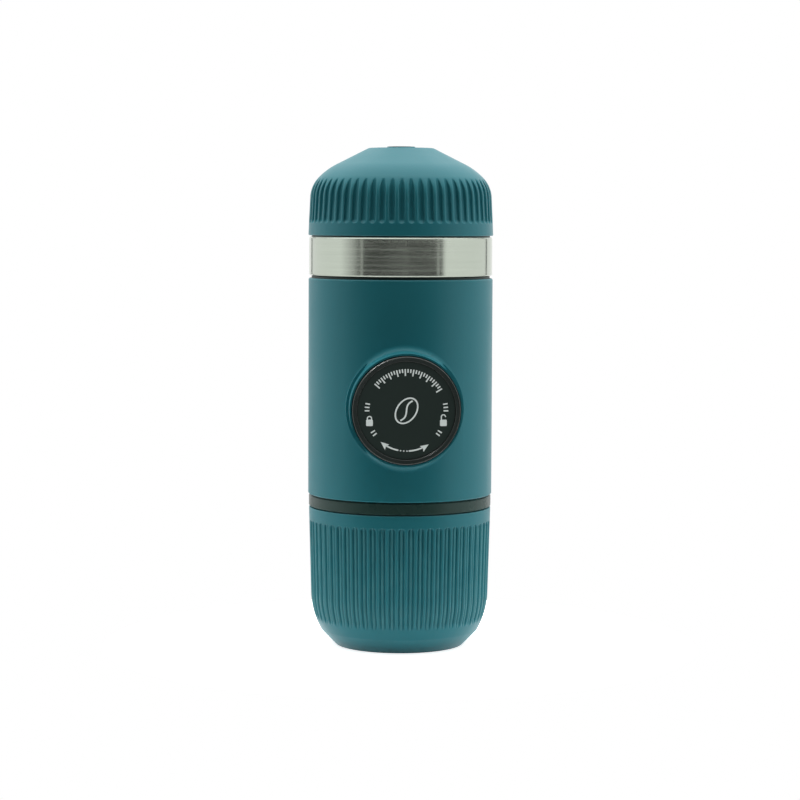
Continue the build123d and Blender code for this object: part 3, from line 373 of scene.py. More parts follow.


# %% [markdown]
# A plastic is then: its colour, a paler second colour on its edges, which is wear and a
# painted highlight, a base roughness that the smudges vary, and the grain as its normal.


# %% Plastics and rubber
GRAIN_FINENESS = 1500.0
EDGE_WEAR_HIGHLIGHT_BEND = 0.15
PLASTIC_SMUDGE = 0.05  # how much smudges change the roughness


def plastic(name, colour, edge_wear_highlight_colour, roughness, depth=0.00002, shine=0.22):
    """A moulded material: grain, smudges and paler edges (wear and a painted highlight) over one base
    colour.

    depth is how deep the grain looks, in metres, and shine how strongly it reflects.
    """
    made = bpy.data.materials.new(name)
    made.use_nodes = True
    made.diffuse_color = (*colour, 1)
    tree = made.node_tree
    shader = tree.nodes["Principled BSDF"]
    place = node(tree, "TexCoord").outputs["Object"]
    bend = node(tree, "Attribute", attribute_name="bend").outputs["Fac"]
    grain = node(
        tree, "Group", {"Position": place, "Fineness": GRAIN_FINENESS, "Depth": depth},
        node_tree=grain_tree,
    )
    edge_wear_highlight = node(
        tree, "Group", {"Position": place, "Bend": bend, "Threshold": EDGE_WEAR_HIGHLIGHT_BEND},
        node_tree=edge_wear_highlight_tree,
    )
    # the edges get the paler colour: their wear and a painted highlight
    tint = node(
        tree, "Mix", {"Factor": edge_wear_highlight.outputs["Mask"], "A": (*colour, 1), "B": (*edge_wear_highlight_colour, 1)},
        data_type="RGBA",
    )
    gloss = varied(tree, grain.outputs["Smudge"], roughness, PLASTIC_SMUDGE)
    tree.links.new(tint.outputs["Result"], shader.inputs["Base Color"])
    tree.links.new(gloss, shader.inputs["Roughness"])
    tree.links.new(grain.outputs["Normal"], shader.inputs["Normal"])
    shader.inputs["Specular IOR Level"].default_value = shine
    return made


# the second colour of each is its edge colour: wear and a painted highlight
teal = plastic("teal_plastic", (0.027, 0.225, 0.268), (0.10, 0.36, 0.40), 0.36)
black_gloss = plastic("black_gloss", (0.032, 0.070, 0.060), (0.06, 0.10, 0.09), 0.30)
black_satin = plastic("black_satin", (0.030, 0.055, 0.048), (0.05, 0.08, 0.07), 0.42)
nylon = plastic("dark_nylon", (0.03, 0.03, 0.033), (0.05, 0.05, 0.055), 0.5)
silicone = plastic("grey_silicone", (0.11, 0.11, 0.115), (0.16, 0.16, 0.165), 0.6)
knob_black = plastic(
    "knob_black", (0.013, 0.019, 0.017), (0.10, 0.11, 0.10), 0.20, depth=0.00001, shine=0.6
)
disc_black = plastic("disc_black", (0.017, 0.026, 0.023), (0.03, 0.04, 0.035), 0.50, shine=0.05)
ink = plastic("pale_ink", (0.64, 0.70, 0.68), (0.64, 0.70, 0.68), 0.5, shine=0.05)
moulded = (teal, black_gloss, black_satin, nylon, silicone, knob_black, disc_black, ink)
print("plastics and rubber:", ", ".join(made.name for made in moulded))

# %% [markdown]
# Steel that was brushed on a turntable carries fine lines that run round it. The lines
# are noise that changes quickly with height and hardly at all along the line, so its
# position is stretched: height counts in full, and the way round counts very little. The
# lines change a little how much the steel reflects and how rough it is, and they stand
# out in a very shallow relief.
#
# Such lines spread a reflection up and down but keep it sharp sideways. An anisotropic
# shader does that when its tangent, which runs round the axis, is given a quarter turn.


# %% Steels
WAY_ROUND = 0.004  # how much the way round counts in the lines, where height counts 1
RED_SHARE = 0.91  # of what the steel reflects of green
BLUE_SHARE = 0.865
STEEL_SMUDGE = 0.03


def steel(name, reflectance, roughness, lines, contrast, scoring):
    """A steel whose brush lines run round the Z axis; `lines` is their number per metre.

    contrast says how much they change the reflectance, and scoring the roughness.
    """
    made = bpy.data.materials.new(name)
    made.use_nodes = True
    tree = made.node_tree
    shader = tree.nodes["Principled BSDF"]
    place = node(tree, "TexCoord").outputs["Object"]
    stretched = node(tree, "Mapping", {"Vector": place, "Scale": (WAY_ROUND, WAY_ROUND, 1.0)})
    fine = node(
        tree, "TexNoise", {"Vector": stretched.outputs[0], "Scale": lines, "Detail": 3.0}
    ).outputs[0]
    smudge = node(tree, "TexNoise", {"Vector": place, "Scale": 60.0, "Detail": 3.0}).outputs[0]
    green = varied(tree, fine, reflectance, contrast)
    red = node(tree, "Math", {0: green, 1: RED_SHARE}, operation="MULTIPLY").outputs[0]
    blue = node(tree, "Math", {0: green, 1: BLUE_SHARE}, operation="MULTIPLY").outputs[0]
    colour = node(tree, "CombineColor", {"Red": red, "Green": green, "Blue": blue})
    bump = node(tree, "Bump", {"Height": fine, "Distance": 0.0000012, "Strength": 1.0})
    smudged = varied(tree, smudge, roughness, STEEL_SMUDGE)
    scored = varied(tree, fine, 0.0, scoring, reach=0.15)
    gloss = node(tree, "Math", {0: smudged, 1: scored}, operation="ADD")
    round_z = node(tree, "Tangent", direction_type="RADIAL", axis="Z")
    shader.inputs["Metallic"].default_value = 1.0
    shader.inputs["Anisotropic"].default_value = 1.0
    shader.inputs["Anisotropic Rotation"].default_value = 0.25
    tree.links.new(round_z.outputs[0], shader.inputs["Tangent"])
    tree.links.new(colour.outputs[0], shader.inputs["Base Color"])
    tree.links.new(gloss.outputs[0], shader.inputs["Roughness"])
    tree.links.new(bump.outputs[0], shader.inputs["Normal"])
    return made


brushed = steel("brushed_steel", 0.56, 0.22, 5200.0, 0.02, 0.04)
bright_steel = steel("bright_steel", 0.62, 0.18, 900.0, 0.02, 0.02)
print("steels:", ", ".join(made.name for made in (brushed, bright_steel)))

# %% [markdown]
# ## Surfaces from arrays
# A turned piece is one profile carried round an axis. Written as an array, that is a
# grid: each row is a place on the profile, each column an angle. `surface` turns such a
# grid into a mesh. Its columns always close into rings. Its rows end on the axis, where
# the points of a row fall together into a pole, or on a rim, where the next skin goes on,
# or they close into a loop, as a ring's section does.

# %% Grid helpers
MERGED_WITHIN = 1e-7  # metres


def unit(v):
    """Each vector divided by its length, or left at nought where it has none."""
    return v / np.maximum(np.linalg.norm(v, axis=-1, keepdims=True), 1e-9)


def bends(grid, loop):
    """How sharply the surface bends outwards at each point: nought where flat or hollow.

    With neighbours a and b on either side of p, the vectors from a to p and from b to p,
    each of length 1, add up to one that points outwards, of length 2 sin(bend / 2). Its
    part along the normal is taken round the piece and along the profile, and added. The
    first and last rows of a profile that is no loop get nought.
    """
    left, right = grid - np.roll(grid, 1, axis=1), grid - np.roll(grid, -1, axis=1)
    below, above = grid - np.roll(grid, 1, axis=0), grid - np.roll(grid, -1, axis=0)
    if not loop:
        below[0], above[0], below[-1], above[-1] = 0, 0, 0, 0
    normal = unit(np.cross(left - right, below - above))
    turns = unit(left) + unit(right) + unit(below) + unit(above)
    return np.clip(np.sum(turns * normal, axis=-1), 0, None)


def surface(name, grid, material, body, loop=False):
    """Make a mesh from grid[row, column] = (x, y, z) in millimetres and let it ride.

    One quad spans each pair of neighbouring rows and columns. How sharply the surface
    bends is stored at each point. Points that fall together are merged, which closes
    the poles.
    """
    rows, columns = grid.shape[:2]
    index = np.arange(rows * columns).reshape(rows, columns)
    if loop:
        index = np.vstack((index, index[:1]))
    low, high = index[:-1], index[1:]
    quads = np.stack((low, np.roll(low, -1, 1), np.roll(high, -1, 1), high), axis=-1)
    mesh = bpy.data.meshes.new(name)
    mesh.from_pydata(grid.reshape(-1, 3) * MM, [], quads.reshape(-1, 4))
    bend_values = bends(grid, loop).astype(np.float32).ravel()
    mesh.attributes.new("bend", "FLOAT", "POINT").data.foreach_set("value", bend_values)
    tidy = bmesh.new()
    tidy.from_mesh(mesh)
    bmesh.ops.remove_doubles(tidy, verts=tidy.verts, dist=MERGED_WITHIN)
    volume = tidy.calc_volume(signed=True)
    tidy.to_mesh(mesh)
    tidy.free()
    mesh.shade_smooth()
    mesh.materials.append(material)
    piece = bpy.data.objects.new(name, mesh)
    bpy.context.scene.collection.objects.link(piece)
    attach(piece, body)
    print(name, "faces:", len(mesh.polygons), "volume in cm3:", round(volume / (10 * MM) ** 3, 2),
          "sharpest bend:", round(float(bend_values.max()), 2))
    return piece


def turned(profile, columns):
    """Carry a profile of (radius, height) rows round the Z axis: x = r cos a, y = r sin a."""
    angle = np.linspace(0, 2 * math.pi, columns, endpoint=False)
    radius, height = np.asarray(profile)[:, :1], np.asarray(profile)[:, 1:]
    return np.stack((radius * np.cos(angle), radius * np.sin(angle), height + 0 * angle), axis=-1)


# %% [markdown]
# Profiles come as corners. Real edges are never sharp, so each corner has a radius. An
# arc replaces it, and a holding point on either side keeps the smooth shading of the
# arc from spreading over the flat faces beside it.


# %% Profile helpers
def rounded(corners, steps=4, loop=False, hold=0.25):
    """Profile through corners (r, z, radius), each replaced by an arc of that radius.

    The arc touches both sides at radius / tan(half the corner's angle) from the corner.
    The holding points stand at most hold beyond its ends.
    """
    rows = []
    count = len(corners)
    for i, (r, z, radius) in enumerate(corners):
        here = np.array((r, z), float)
        if radius == 0 or (not loop and i in (0, count - 1)):
            rows.append(here)
            continue
        back = np.array(corners[i - 1][:2], float) - here
        ahead = np.array(corners[(i + 1) % count][:2], float) - here
        room = min(np.linalg.norm(back), np.linalg.norm(ahead))
        back, ahead = back / np.linalg.norm(back), ahead / np.linalg.norm(ahead)
        half = math.acos(np.clip(back @ ahead, -1, 1)) / 2
        inset = radius / math.tan(half)
        centre = here + (back + ahead) / np.linalg.norm(back + ahead) * radius / math.sin(half)
        start, end = here + back * inset, here + ahead * inset
        grip = min(hold, (room - inset) / 3)
        share = np.linspace(0, 1, steps + 1)[:, None]
        chord = start * (1 - share) + end * share - centre
        arc = centre + radius * chord / np.linalg.norm(chord, axis=1, keepdims=True)
        rows += [start + back * grip, *arc, end + ahead * grip]
    return np.array(rows)


def tangent_arc(start, way, end, steps):
    """Arc that leaves start in direction way and reaches end.

    Its centre lies on the normal at start, as far from start as from end.
    """
    start, way, end = (np.array(v, float) for v in (start, way, end))
    way = way / np.linalg.norm(way)
    normal = np.array((-way[1], way[0]))
    chord = end - start
    reach = chord @ chord / (2 * (chord @ normal))
    sweep = 2 * math.atan2(chord @ normal, chord @ way) * np.linspace(0, 1, steps + 1)
    centre = start + normal * reach
    spoke = start - centre
    return np.stack(
        (
            centre[0] + spoke[0] * np.cos(sweep) - spoke[1] * np.sin(sweep),
            centre[1] + spoke[0] * np.sin(sweep) + spoke[1] * np.cos(sweep),
        ),
        axis=1,
    )


def smooth_step(value, low, high):
    """0 below low, 1 above high, and 3t^2 - 2t^3 between, where t runs from 0 to 1."""
    t = np.clip((value - low) / (high - low), 0, 1)
    return t * t * (3 - 2 * t)


# %% [markdown]
# ## Grip ribs
# Tank and cup are ringed by sixty grooves. A plain grid would cut across the grooves'
# edges and leave them ragged. So the columns follow the edges: in every row they are laid
# out from the groove's middle to its edge and on to the crest, by the groove's own half
# width in that row. Where a groove ends, its columns draw together, and the end comes out
# as round or as pointed as its width says.

# %% Grooved grid
RIBS = 60
EDGE_ROUND = 0.30  # how far the rounding of a groove's edge reaches, mm
EDGE_DROP = 0.15  # how far it lowers the edge itself
FULL_DROP_DEPTH = 0.35  # how deep a groove is before its edge is lowered in full
LEAST_HALF = 0.12  # half the width that a groove's columns keep where there is no groove


def grooved(profile, half, depth, section, phase):
    """Grid of a turned shape with grooves all round.

    half and depth give the groove's half width and full depth in each row. section lists
    its shape: places from the middle, 0, to the edge, 1, and the share of the depth there.
    """
    radius, height = profile[:, 0], profile[:, 1]
    places, shares = np.array(section).T
    crest = (np.pi / RIBS * radius)[:, None]
    width = np.maximum(half, LEAST_HALF)[:, None]
    x = np.hstack((width * places, width + 0.4 * EDGE_ROUND, width + EDGE_ROUND, crest))
    x = np.minimum(x, crest)
    nearness = np.clip(1 - (x - width) / EDGE_ROUND, 0, 1)
    nearness[x > crest - 1e-9] = 0
    edge_line = EDGE_DROP * np.clip(depth[:, None] / FULL_DROP_DEPTH, 0, 1) * nearness**1.5
    drop = edge_line.copy()
    drop[:, : len(places)] = np.maximum(depth[:, None] * shares, edge_line[:, : len(places)])
    drop[half <= 0] = 0
    # one rib, from a crest through the groove to the next crest, which starts the next rib
    x = np.hstack((-x[:, :0:-1], x[:, :-1]))
    drop = np.hstack((drop[:, :0:-1], drop[:, :-1]))
    step = x / np.maximum(radius, 1e-6)[:, None]
    angle = (phase + np.arange(RIBS) * 2 * np.pi / RIBS)[None, :, None] + step[:, None, :]
    angle = angle.reshape(len(radius), -1)
    r = np.repeat(radius[:, None, None] - drop[:, None, :], RIBS, axis=1).reshape(len(radius), -1)
    return np.stack((r * np.cos(angle), r * np.sin(angle), height[:, None] + 0 * r), axis=-1)


# %% [markdown]
# ## The water tank
# The tank's wall leans in a little towards the bottom, bends through a wide curve and
# ends in a bevel round the flat base. The outer skin goes from the middle of the base up
# the outside and onto the rim. The inner one goes on from there, down the mouth with its
# thread to the middle of the floor. Only the outer one needs the many columns of the ribs.

# %% Tank profile
TANK_TOP = 46.8
TANK_RIM = 30.7
SHOULDER = (29.92, 17.5)
KNEE = (26.37, 5.0)
TANK_MOUTH = 27.4
THROAT = 34.1
TANK_WALL = 2.4
TANK_FLOOR = 2.2
TANK_MEETING = 28.6  # the radius on the rim where the two skins meet
THREAD_ROWS = 38

lean = np.array((TANK_RIM, TANK_TOP - 0.35)) - SHOULDER
belly = tangent_arc(SHOULDER, -lean, KNEE, 22)
base = rounded([(0, 0, 0), (21.47, 0, 0.5), (*KNEE, 0)], hold=0.3)
# the rows stand closer where the grooves' arched tops are
wall_heights = np.array((24, 32, 38, 40.6, 41.1, 41.5, 41.8, 42.05, 42.25, 42.4, 42.5,
                         42.56, 42.62, 42.8, 44.5))
wall = np.stack((SHOULDER[0] + lean[0] * (wall_heights - SHOULDER[1]) / lean[1], wall_heights), axis=1)
rim = rounded([(*wall[-1], 0), (TANK_RIM, TANK_TOP, 0.35), (TANK_MEETING, TANK_TOP, 0)])[1:]
mouth = rounded([(TANK_MEETING, TANK_TOP, 0), (TANK_MOUTH, TANK_TOP, 0.2), (TANK_MOUTH, 45.6, 0)])[:-1]
thread_heights = np.linspace(46.0, THROAT + 0.6, THREAD_ROWS)
thread_rows = np.stack((np.full(THREAD_ROWS, TANK_MOUTH), thread_heights), axis=1)
inner_knee = np.array(KNEE) + np.array((-1, 0.98)) * TANK_WALL * 0.71
cavity = rounded(
    [(TANK_MOUTH, THROAT + 0.4, 0), (TANK_MOUTH, THROAT, 0.3),
     (TANK_RIM - TANK_WALL, THROAT - 0.9, 0.4), (SHOULDER[0] - TANK_WALL, SHOULDER[1], 0)]
)[1:]
inner_belly = tangent_arc(cavity[-1], cavity[-1] - cavity[-2], inner_knee, 8)[1:]
inner_base = rounded([(*inner_knee, 0), (inner_knee[0] - 4.6, TANK_FLOOR, 1.0), (0, TANK_FLOOR, 0)])[1:]
outer_skin = np.vstack((base[:-1], belly[::-1], wall, rim))
inner_skin = np.vstack((mouth, thread_rows, cavity, inner_belly, inner_base))
print("tank profile rows:", len(outer_skin), "outside,", len(inner_skin), "inside")

# %% [markdown]
# Each groove has an arched top, and a low rib stands along its middle. On the lower curve
# the grooves run out. Inside the mouth run the three starts of the screw thread. Each is
# a ridge that climbs with the angle, so a point lies on a ridge when its height, less the
# climb at its angle, falls within the ridge's width.

# %% Tank surface
GROOVE_HALF = 1.12
GROOVE_DEPTH = 0.85
END_WIDTH = 0.7  # the share of its width that a groove has where it has run out
TANK_PHASE = math.radians(4.1)
ARCH_CENTRE = 41.45
GROOVE_END = (8.3, 11.0)
TANK_SECTION = ((0, 0.40), (0.28, 0.44), (0.42, 0.95), (0.68, 1.0), (0.90, 0.70), (1.0, 0))
THREAD_LEAD = 12.0
THREAD_TURNS = 0.45
THREAD_STARTS = 3
THREAD_DEPTH = 0.9
THREAD_BOTTOM = 39.35
RIDGE_ROOT = 1.9
RIDGE_CREST = 1.0
RIDGE_TAPER = 0.006  # of a turn, at either end


def thread_ridges(grid):
    """How high the ridges stand at each point: a trapezium across a helix.

    Start k's middle line is at height bottom + lead * t, t being the turns from its
    angle 2 pi k / starts, and it runs over the thread's share of a turn.
    """
    angle = np.arctan2(grid[..., 1], grid[..., 0])
    height = np.zeros(angle.shape)
    for start in range(THREAD_STARTS):
        turns = (angle / (2 * np.pi) - start / THREAD_STARTS) % 1.0
        away = np.abs(grid[..., 2] - THREAD_BOTTOM - THREAD_LEAD * turns)
        slope = np.clip((RIDGE_ROOT / 2 - away) / ((RIDGE_ROOT - RIDGE_CREST) / 2), 0, 1)
        begun = smooth_step(turns, 0, RIDGE_TAPER)
        ended = smooth_step(turns, THREAD_TURNS - RIDGE_TAPER, THREAD_TURNS)
        height = np.maximum(height, THREAD_DEPTH * slope * begun * (1 - ended))
    return height


z = outer_skin[:, 1]
arch = np.sqrt(np.clip(1 - np.clip((z - ARCH_CENTRE) / GROOVE_HALF, 0, 1) ** 2, 0, None))
run_out = smooth_step(z, *GROOVE_END)
narrowing = (END_WIDTH + (1 - END_WIDTH) * run_out) * (run_out > 0)
tank_grid = grooved(
    outer_skin, GROOVE_HALF * arch * narrowing, GROOVE_DEPTH * arch * run_out, TANK_SECTION, TANK_PHASE
)
tank = surface("ribbed_tank", tank_grid, teal, "tank")
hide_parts("water_tank")

cavity_grid = turned(inner_skin, 360)
threaded = (inner_skin[:, 0] == TANK_MOUTH) & (inner_skin[:, 1] < TANK_TOP - 0.5)
squeeze = 1 - thread_ridges(cavity_grid[threaded]) / TANK_MOUTH
cavity_grid[threaded, :, :2] *= squeeze[..., None]
surface("tank_cavity", cavity_grid, teal, "tank")

# %% [markdown]
# ## The cup
# The cup stands upside down as a lid. Its side is nearly upright and turns over a
# shoulder into a shallow cone with a flat top and a small round pad. The depth of its
# grooves follows from a straight line leaning 7 degrees inwards: it is a share of the
# distance to that line, so the grooves run out where the shoulder crosses it, and there
# they narrow to a point. Near the rim they end in a short scoop that faces upwards.
#
# The cup has two skins, because only the outer one needs the ribs' many columns. They
# meet on the rim.

# %% Cup profile
CUP_RIM = 138.2
CUP_TOP = 167.5
CUP_RADIUS = 31.1
SIDE_TOP = (30.5, 151.0)
SHOULDER_TOP = (27.3, 158.0)
HAUNCH_TOP = (21.0, 162.4)
PLATEAU = 10.9
PAD_RADIUS = 4.7
PAD_HEIGHT = 0.5
PAD_ROWS = (0.04, 0.07, 0.38, 0.40)  # heights on its side; the middle two bound a notch
CUP_MEETING = 29.6  # the radius on the rim where the two skins meet
LINING_TOP = 165.4
LINING_STEP = 143.4

side_lean = np.array(SIDE_TOP) - (CUP_RADIUS, CUP_RIM + 0.35)
# the rows stand closer where the grooves' scoops are
side_heights = np.array((141.2, 141.95, 142.1, 142.18, 142.3, 142.45, 142.65, 142.9, 143.15, 143.4,
                         143.7, 145.5, 148.0, 150.0, 151.0))
side = np.stack(
    (CUP_RADIUS + side_lean[0] * (side_heights - CUP_RIM - 0.35) / side_lean[1], side_heights), axis=1
)
shoulder = tangent_arc(SIDE_TOP, side_lean, SHOULDER_TOP, 26)
haunch = tangent_arc(SHOULDER_TOP, shoulder[-1] - shoulder[-2], HAUNCH_TOP, 10)
pad_side = [(PAD_RADIUS, CUP_TOP + up, 0) for up in PAD_ROWS]
dome = rounded(
    [(*HAUNCH_TOP, 0), (PLATEAU, CUP_TOP, 1.2), (PAD_RADIUS, CUP_TOP, 0), *pad_side,
     (PAD_RADIUS, CUP_TOP + PAD_HEIGHT, 0.08), (0, CUP_TOP + PAD_HEIGHT, 0)]
)
foot = rounded([(CUP_MEETING, CUP_RIM, 0), (CUP_RADIUS, CUP_RIM, 0.35), (*side[0], 0)])[:-1]
cup_inside = rounded(
    [(0, LINING_TOP, 0), (10.4, LINING_TOP, 1.5), (20.1, 160.6, 4.0), (25.9, 156.5, 4.0),
     (27.35, 151.0, 5.0), (27.95, LINING_STEP, 0.2), (28.9, LINING_STEP, 0.1),
     (28.9, CUP_RIM, 0.25), (CUP_MEETING, CUP_RIM, 0)],
    hold=0.6,
)
cup_outside = np.vstack((foot, side, shoulder[1:], haunch[1:], dome[1:]))
print("cup profile rows:", len(cup_outside), "outside,", len(cup_inside), "inside")

# %% Cup surface
CUP_GROOVE_HALF = 1.05
CUP_GROOVE_DEPTH = 1.3
CUP_DEPTH_SHARE = 0.68
CUP_LEAN = math.tan(math.radians(7.0))
CUP_PHASE = math.radians(-86.6)
SCOOP = (142.25, 143.5)
POINTED_ARCH = (152.0, 158.0)
CUP_SECTION = ((0, 1.0), (0.5, 0.98), (0.8, 0.84), (0.94, 0.45), (1.0, 0))
NOTCH_WAYS = (math.radians(212), math.radians(252))
NOTCH_FLOOR = 0.3  # as a share of the pad's radius

r, z = cup_outside[:, 0], cup_outside[:, 1]
into_scoop = np.clip((SCOOP[1] - z) / (SCOOP[1] - SCOOP[0]), 0, 1)
up_arch = np.clip((z - POINTED_ARCH[0]) / (POINTED_ARCH[1] - POINTED_ARCH[0]), 0, 1)
half = CUP_GROOVE_HALF * np.sqrt(1 - into_scoop**2) * (1 - up_arch**2)
floor_line = CUP_RADIUS - CUP_GROOVE_DEPTH - CUP_LEAN * (z - SCOOP[1])
depth = CUP_DEPTH_SHARE * np.clip(r - floor_line, 0, None) * (1 - into_scoop**1.5)
cup_grid = grooved(cup_outside, half, depth, CUP_SECTION, CUP_PHASE)

# a notch in the pad's side, to hook a nail into
turn = np.arctan2(cup_grid[..., 1], cup_grid[..., 0]) % (2 * np.pi)
up = z - CUP_TOP
notch_rows = np.isclose(r, PAD_RADIUS) & (up > PAD_ROWS[0] + 0.01) & (up < PAD_ROWS[-1] - 0.01)
notch = notch_rows[:, None] & (turn > NOTCH_WAYS[0]) & (turn < NOTCH_WAYS[1])
cup_grid[..., :2][notch] *= NOTCH_FLOOR
cup = surface("domed_cup", cup_grid, teal, "cup")
surface("cup_lining", turned(cup_inside, 240), teal, "cup")
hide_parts("cup")

# %% [markdown]
# ## The steel band
# The band is a thin sleeve whose edges are turned over with a small bevel, which is what
# catches the light as two bright lines. A ring's section is a closed loop of rows.

# %% Band
BAND_BOTTOM = 124.9
BAND_TOP = 137.75
BAND_OUTER = 30.85
BAND_INNER = 30.05
LOWER_BEVEL = (0.2, 0.4)  # inwards and along the height
UPPER_BEVEL = (0.3, 0.5)

band_section = rounded(
    [(BAND_INNER, BAND_BOTTOM, 0.1), (BAND_OUTER - LOWER_BEVEL[0], BAND_BOTTOM, 0.05),
     (BAND_OUTER, BAND_BOTTOM + LOWER_BEVEL[1], 0.1), (BAND_OUTER, BAND_TOP - UPPER_BEVEL[1], 0.1),
     (BAND_OUTER - UPPER_BEVEL[0], BAND_TOP, 0.05), (BAND_INNER, BAND_TOP, 0.1)],
    loop=True,
)
band_grid = turned(band_section, 256)
band = surface("steel_sleeve", band_grid, brushed, "outlet_head", loop=True)
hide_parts("steel_band")

# %% [markdown]
# ## The push knob
# The knob turns and slides on the pump's axis, which points at the viewer. It is a cap
# with a hollow skirt and a sunk face. Both pieces are worked out round Z like the others
# and then laid over: what was up becomes outwards.

# %% Knob and its face
KNOB_RADIUS = 17.5
KNOB_END = 14.0
SKIRT_INNER = 15.2
WEB_BACK = 34.6
RECESS = 15.95
FACE_RADIUS = 15.8
FACE_FRONT = 38.5
FACE_BACK = 37.6
SCREW_HEAD = (3.4, 36.0)
SCREW_HOLE = 1.5


def on_pump_axis(grid):
    """Lay a grid made round Z over to the pump's axis.

    (x, y, z) goes to (x, -z, pump height + y).
    """
    return np.stack((grid[..., 0], -grid[..., 2], PUMP_HEIGHT + grid[..., 1]), axis=-1)


knob_section = rounded(
    [(SCREW_HOLE, WEB_BACK, 0.1), (SKIRT_INNER, WEB_BACK, 0.3), (SKIRT_INNER, KNOB_END, 0.2),
     (KNOB_RADIUS, KNOB_END, 0.3), (KNOB_RADIUS, KNOB_FRONT, 0.28), (RECESS, KNOB_FRONT, 0.12),
     (RECESS, FACE_BACK, 0.05), (SCREW_HEAD[0], FACE_BACK, 0.05), (*SCREW_HEAD, 0.05),
     (SCREW_HOLE, SCREW_HEAD[1], 0.05)],
    loop=True,
)
face_profile = rounded(
    [(0, FACE_BACK, 0), (FACE_RADIUS, FACE_BACK, 0.1), (FACE_RADIUS, FACE_FRONT, 0.15),
     (0, FACE_FRONT, 0)]
)
cap_grid = on_pump_axis(turned(knob_section, 192))
face_grid = on_pump_axis(turned(face_profile, 192))
cap = surface("knob_cap", cap_grid, knob_black, "knob", loop=True)
face = surface("knob_disc", face_grid, disc_black, "knob")
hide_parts("pump_knob")
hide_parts("knob_face")

# %% [markdown]
# The print on the face only says what the knob does: a closed lock on the left, an open
# one on the right, the way between them below, a plain scale above and a coffee bean in
# the middle. It is made of strokes, which are strips along a line, and of filled shapes.
# Both are flat, in millimetres right of and above the face's middle.


# %% Print on the knob
INK_HEIGHT = 0.04
SCALE_START = 140  # degrees counterclockwise from the right, as all angles here
SCALE_TICKS = 28
TICK_PITCH = 4
TICK_WIDTH = 0.44
TICK_OUTER = 13.5
LONG_TICK_INNER = 11.3
SHORT_TICK_INNER = 12.3
LOCK_RING = 12.5
LOCKS = ((197, 0.0), (343, 0.55))  # where each lock is, and how far its bow is lifted
LOCK_LINE_INNER = 12.0
LOCK_LINES = (-27, -22, -17, 15, 20)  # away from the closed lock, and mirrored at the open one
ARROW_RING = 13.05
ARROW_LINES = ((240.3, 258.5), (273.4, 293.7))
ARROW_HEADS = ((230.5, -1), (303.5, 1))
ARROW_DOTS = (261.7, 266.3, 270.9)
LINE_WIDTH = 0.5
BEAN = (4.5, 3.1)
BEAN_TILT = math.radians(55)
print_points, print_faces = [], []


def fill(outline):
    """One flat shape with the given outline."""
    first = len(print_points)
    print_points.extend(outline)
    print_faces.append(list(range(first, first + len(outline))))


def stroke(line, width):
    """A strip of the given width along a line: each point moves sideways by half of it."""
    line = np.asarray(line, float)
    ahead = np.gradient(line, axis=0)
    ahead /= np.linalg.norm(ahead, axis=1, keepdims=True)
    sideways = np.stack((-ahead[:, 1], ahead[:, 0]), axis=1) * width / 2
    for start in range(len(line) - 1):
        (a, b), (to_a, to_b) = line[start : start + 2], sideways[start : start + 2]
        fill([a - to_a, b - to_b, b + to_b, a + to_a])


def arc(middle, radius, start, end, steps=16):
    """Points on a circle from one angle to another, in degrees counterclockwise from the right."""
    turn = np.radians(np.linspace(start, end, steps + 1))
    return np.stack((middle[0] + radius * np.cos(turn), middle[1] + radius * np.sin(turn)), axis=1)


def padlock(middle, lift):
    """A padlock: a rounded block with a bow, whose right leg is lifted when it is open."""
    x, y = middle
    corners = ((0.75, 0.45, 0), (-0.75, 0.45, 90), (-0.75, -0.95, 180), (0.75, -0.95, 270))
    fill(np.vstack([arc((x + dx, y + dy), 0.35, turn, turn + 90, 4) for dx, dy, turn in corners]))
    top = y + 1.15 + lift
    bow = arc((x, top), 0.68, 0, 180, 12)
    right_foot = (x + 0.68, top - 0.05 if lift else y + 0.81)
    stroke(np.vstack((right_foot, bow, (x - 0.68, y + 0.81))), 0.36)


def arrow_head(radius, angle, way):
    """A head whose tip is at an angle on a circle, pointing counterclockwise (1) or back (-1)."""
    tip = np.array((math.cos(math.radians(angle)), math.sin(math.radians(angle))))
    along = np.array((-tip[1], tip[0])) * way
    across = np.array((-along[1], along[0]))
    tip = tip * radius
    for side in (-1, 1):
        fill([tip, tip - 2.7 * along + side * 1.1 * across, tip - 2.2 * along])


def tick(angle, inner_end, outer_end, width):
    """A short radial line."""
    way = np.array((math.cos(math.radians(angle)), math.sin(math.radians(angle))))
    stroke([way * inner_end, way * outer_end], width)


for count in range(SCALE_TICKS):
    inner_end = LONG_TICK_INNER if count % 3 == 0 else SHORT_TICK_INNER
    tick(SCALE_START - TICK_PITCH * count, inner_end, TICK_OUTER, TICK_WIDTH)
for angle, lift in LOCKS:
    padlock(arc((0, 0), LOCK_RING, angle, angle, 1)[0], lift)
    for step in LOCK_LINES:
        tick(angle + (step if lift == 0 else -step), LOCK_LINE_INNER, TICK_OUTER, TICK_WIDTH)
for start, end in ARROW_LINES:
    stroke(arc((0, 0), ARROW_RING, start, end), LINE_WIDTH)
for angle, way in ARROW_HEADS:
    arrow_head(ARROW_RING, angle, way)
for angle in ARROW_DOTS:
    fill(arc(arc((0, 0), ARROW_RING, angle, angle, 1)[0], 0.24, 0, 345, 12))
sweep = np.linspace(0, 2 * np.pi, 49)
bean = np.stack((BEAN[0] * np.cos(sweep), BEAN[1] * np.sin(sweep)), axis=1)
# the crease is a stretch of a sine wave
along = np.linspace(-3.75, 3.75, 25)
crease = np.stack((along, 0.75 * np.sin(along / 4.1 * np.pi)), axis=1)
leaned = np.array(
    ((math.cos(BEAN_TILT), math.sin(BEAN_TILT)), (-math.sin(BEAN_TILT), math.cos(BEAN_TILT)))
)
stroke(bean @ leaned, LINE_WIDTH)
stroke(crease @ leaned, LINE_WIDTH)

